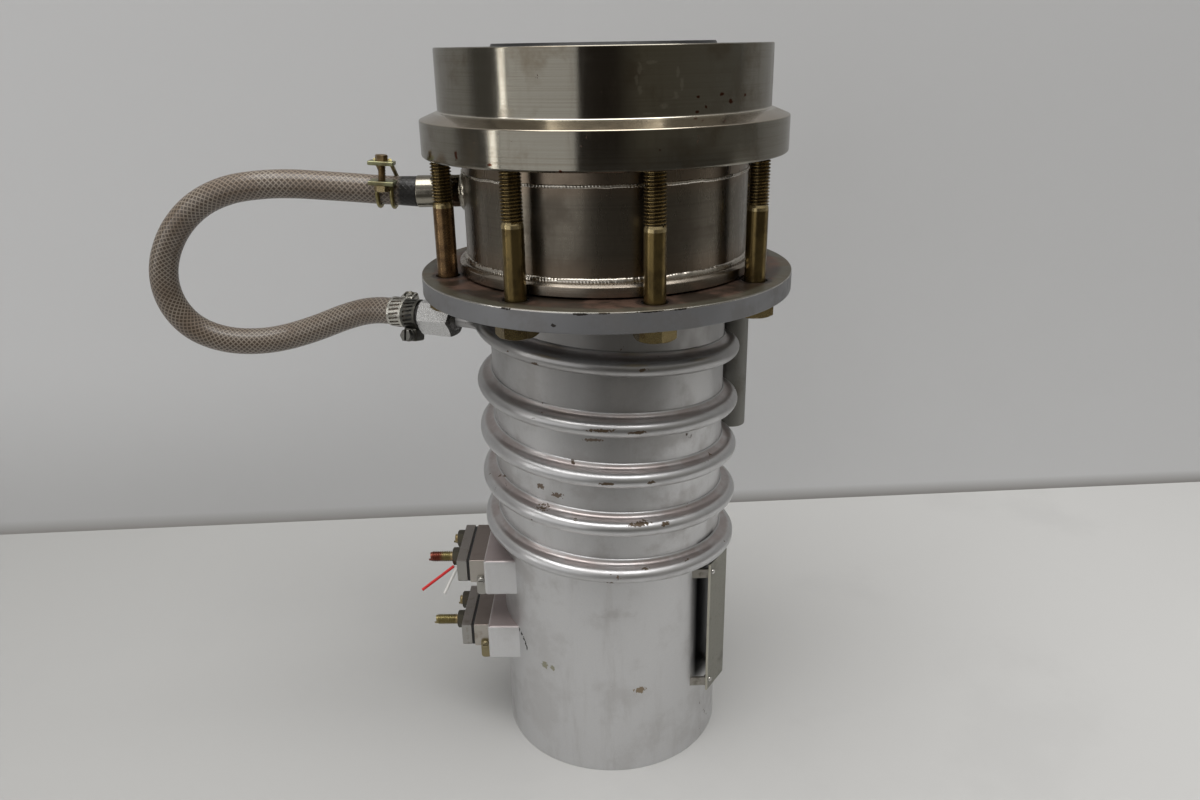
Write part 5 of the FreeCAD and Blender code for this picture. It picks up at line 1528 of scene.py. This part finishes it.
# Leads: two cut-off ends of insulated wire, red and white, left on the upper unit's front stud.
# Each is a straight stub of soft sheath.
lead_radius = 0.8
lead_foot = Vector((end_left, 0, unit_bases[1]))
for name, near, far, colour in (("red_lead", (-3.5, -15.4, 8.0), (-21.0, -21.0, -3.5), (0.62, 0.02, 0.02)),
                                ("white_lead", (-1.9, -15.6, 7.0), (-8.5, -22.5, -5.0), (0.72, 0.71, 0.69))):
    near_end = lead_foot + Vector(near)
    far_end = lead_foot + Vector(far)
    wire = sweep([near_end.lerp(far_end, share / 8) for share in range(9)], lead_radius, 20)
    sheath = plain_finish(name + "_sheath", colour, 0.35, 0.0, [0.6 * value for value in colour], 0.3, 0.004)
    place_piece(name + "_wire", wire, sheath, name, name)


# Rating plate: a blank plate of etched metal riveted on two bent straps that stand off the skirt.
# The straps are plain dark strip, welded by their feet.
plate_angle = -32.0
plate_stand = 6.5
plate_thickness = 1.0
plate_half = 10.25
plate_shift = 1.1
plate_base = 39.1
plate_height = 79.1
strap_middle = (44.6, 112.7)
rivet_radius = 1.5
rivet_height = 0.9
rivet_inset = 3.4
# Lighter grey for a painted highlight along the rating plate's near edge.
edge_highlight_grey = (0.46, 0.44, 0.37)
outward = plan_ray(plate_angle)
across = plan_ray(plate_angle + 90)
near_edge = (plate_half - plate_shift) * MM
face_middle = outward * (barrel_radius + plate_stand) + across * plate_shift
plate_turn = Matrix((outward, across, up_by(1))).transposed().to_4x4()
plate_frame = Matrix.Translation(face_middle + up_by(plate_base)) @ plate_turn


def plate_shade_and_highlight(place, colour):
    """Painted shade makes the back of the plate near-black; a painted highlight lightens a band along its
    near edge. Its face is bare.
    """
    edge = ramp(share_along(place, -across), near_edge - 0.0013, near_edge - 0.0009)
    colour = blend(edge, colour, edge_highlight_grey)
    return blend(ramp(facing_way(place, -outward), 0.4, 0.8), colour, gap_shade_black)


plate_finish = plain_finish("blank_plate", (0.22, 0.215, 0.18), 0.3, 0.85, (0.13, 0.12, 0.10), 0.5, 0.012,
                            shade=plate_shade_and_highlight)
strap_finish = plain_finish("strap_steel", (0.30, 0.285, 0.255), 0.4, 0.8, (0.12, 0.10, 0.08), 0.5, 0.006)
plate = block((-plate_thickness, -plate_half, 0), (0, plate_half, plate_height), 0.2)
place_piece("plate_sheet", set_in(plate, plate_frame), plate_finish, "plate_metal", "rating_plate", crease=30)
dress(strap_finish, "plate_straps")
heads = []
for level in strap_middle:
    head = domed_head(rivet_radius, rivet_height, 0.1, 0.5, 32)
    heads.append(aimed(head, face_middle + across * (rivet_inset - plate_half) + up_by(level), outward))
place_piece("rivet_heads", joined(*heads), bright_steel, "bright_steel", "plate_rivets", crease=30)
dress(bright_steel, "tie_rod", "tie_nut")
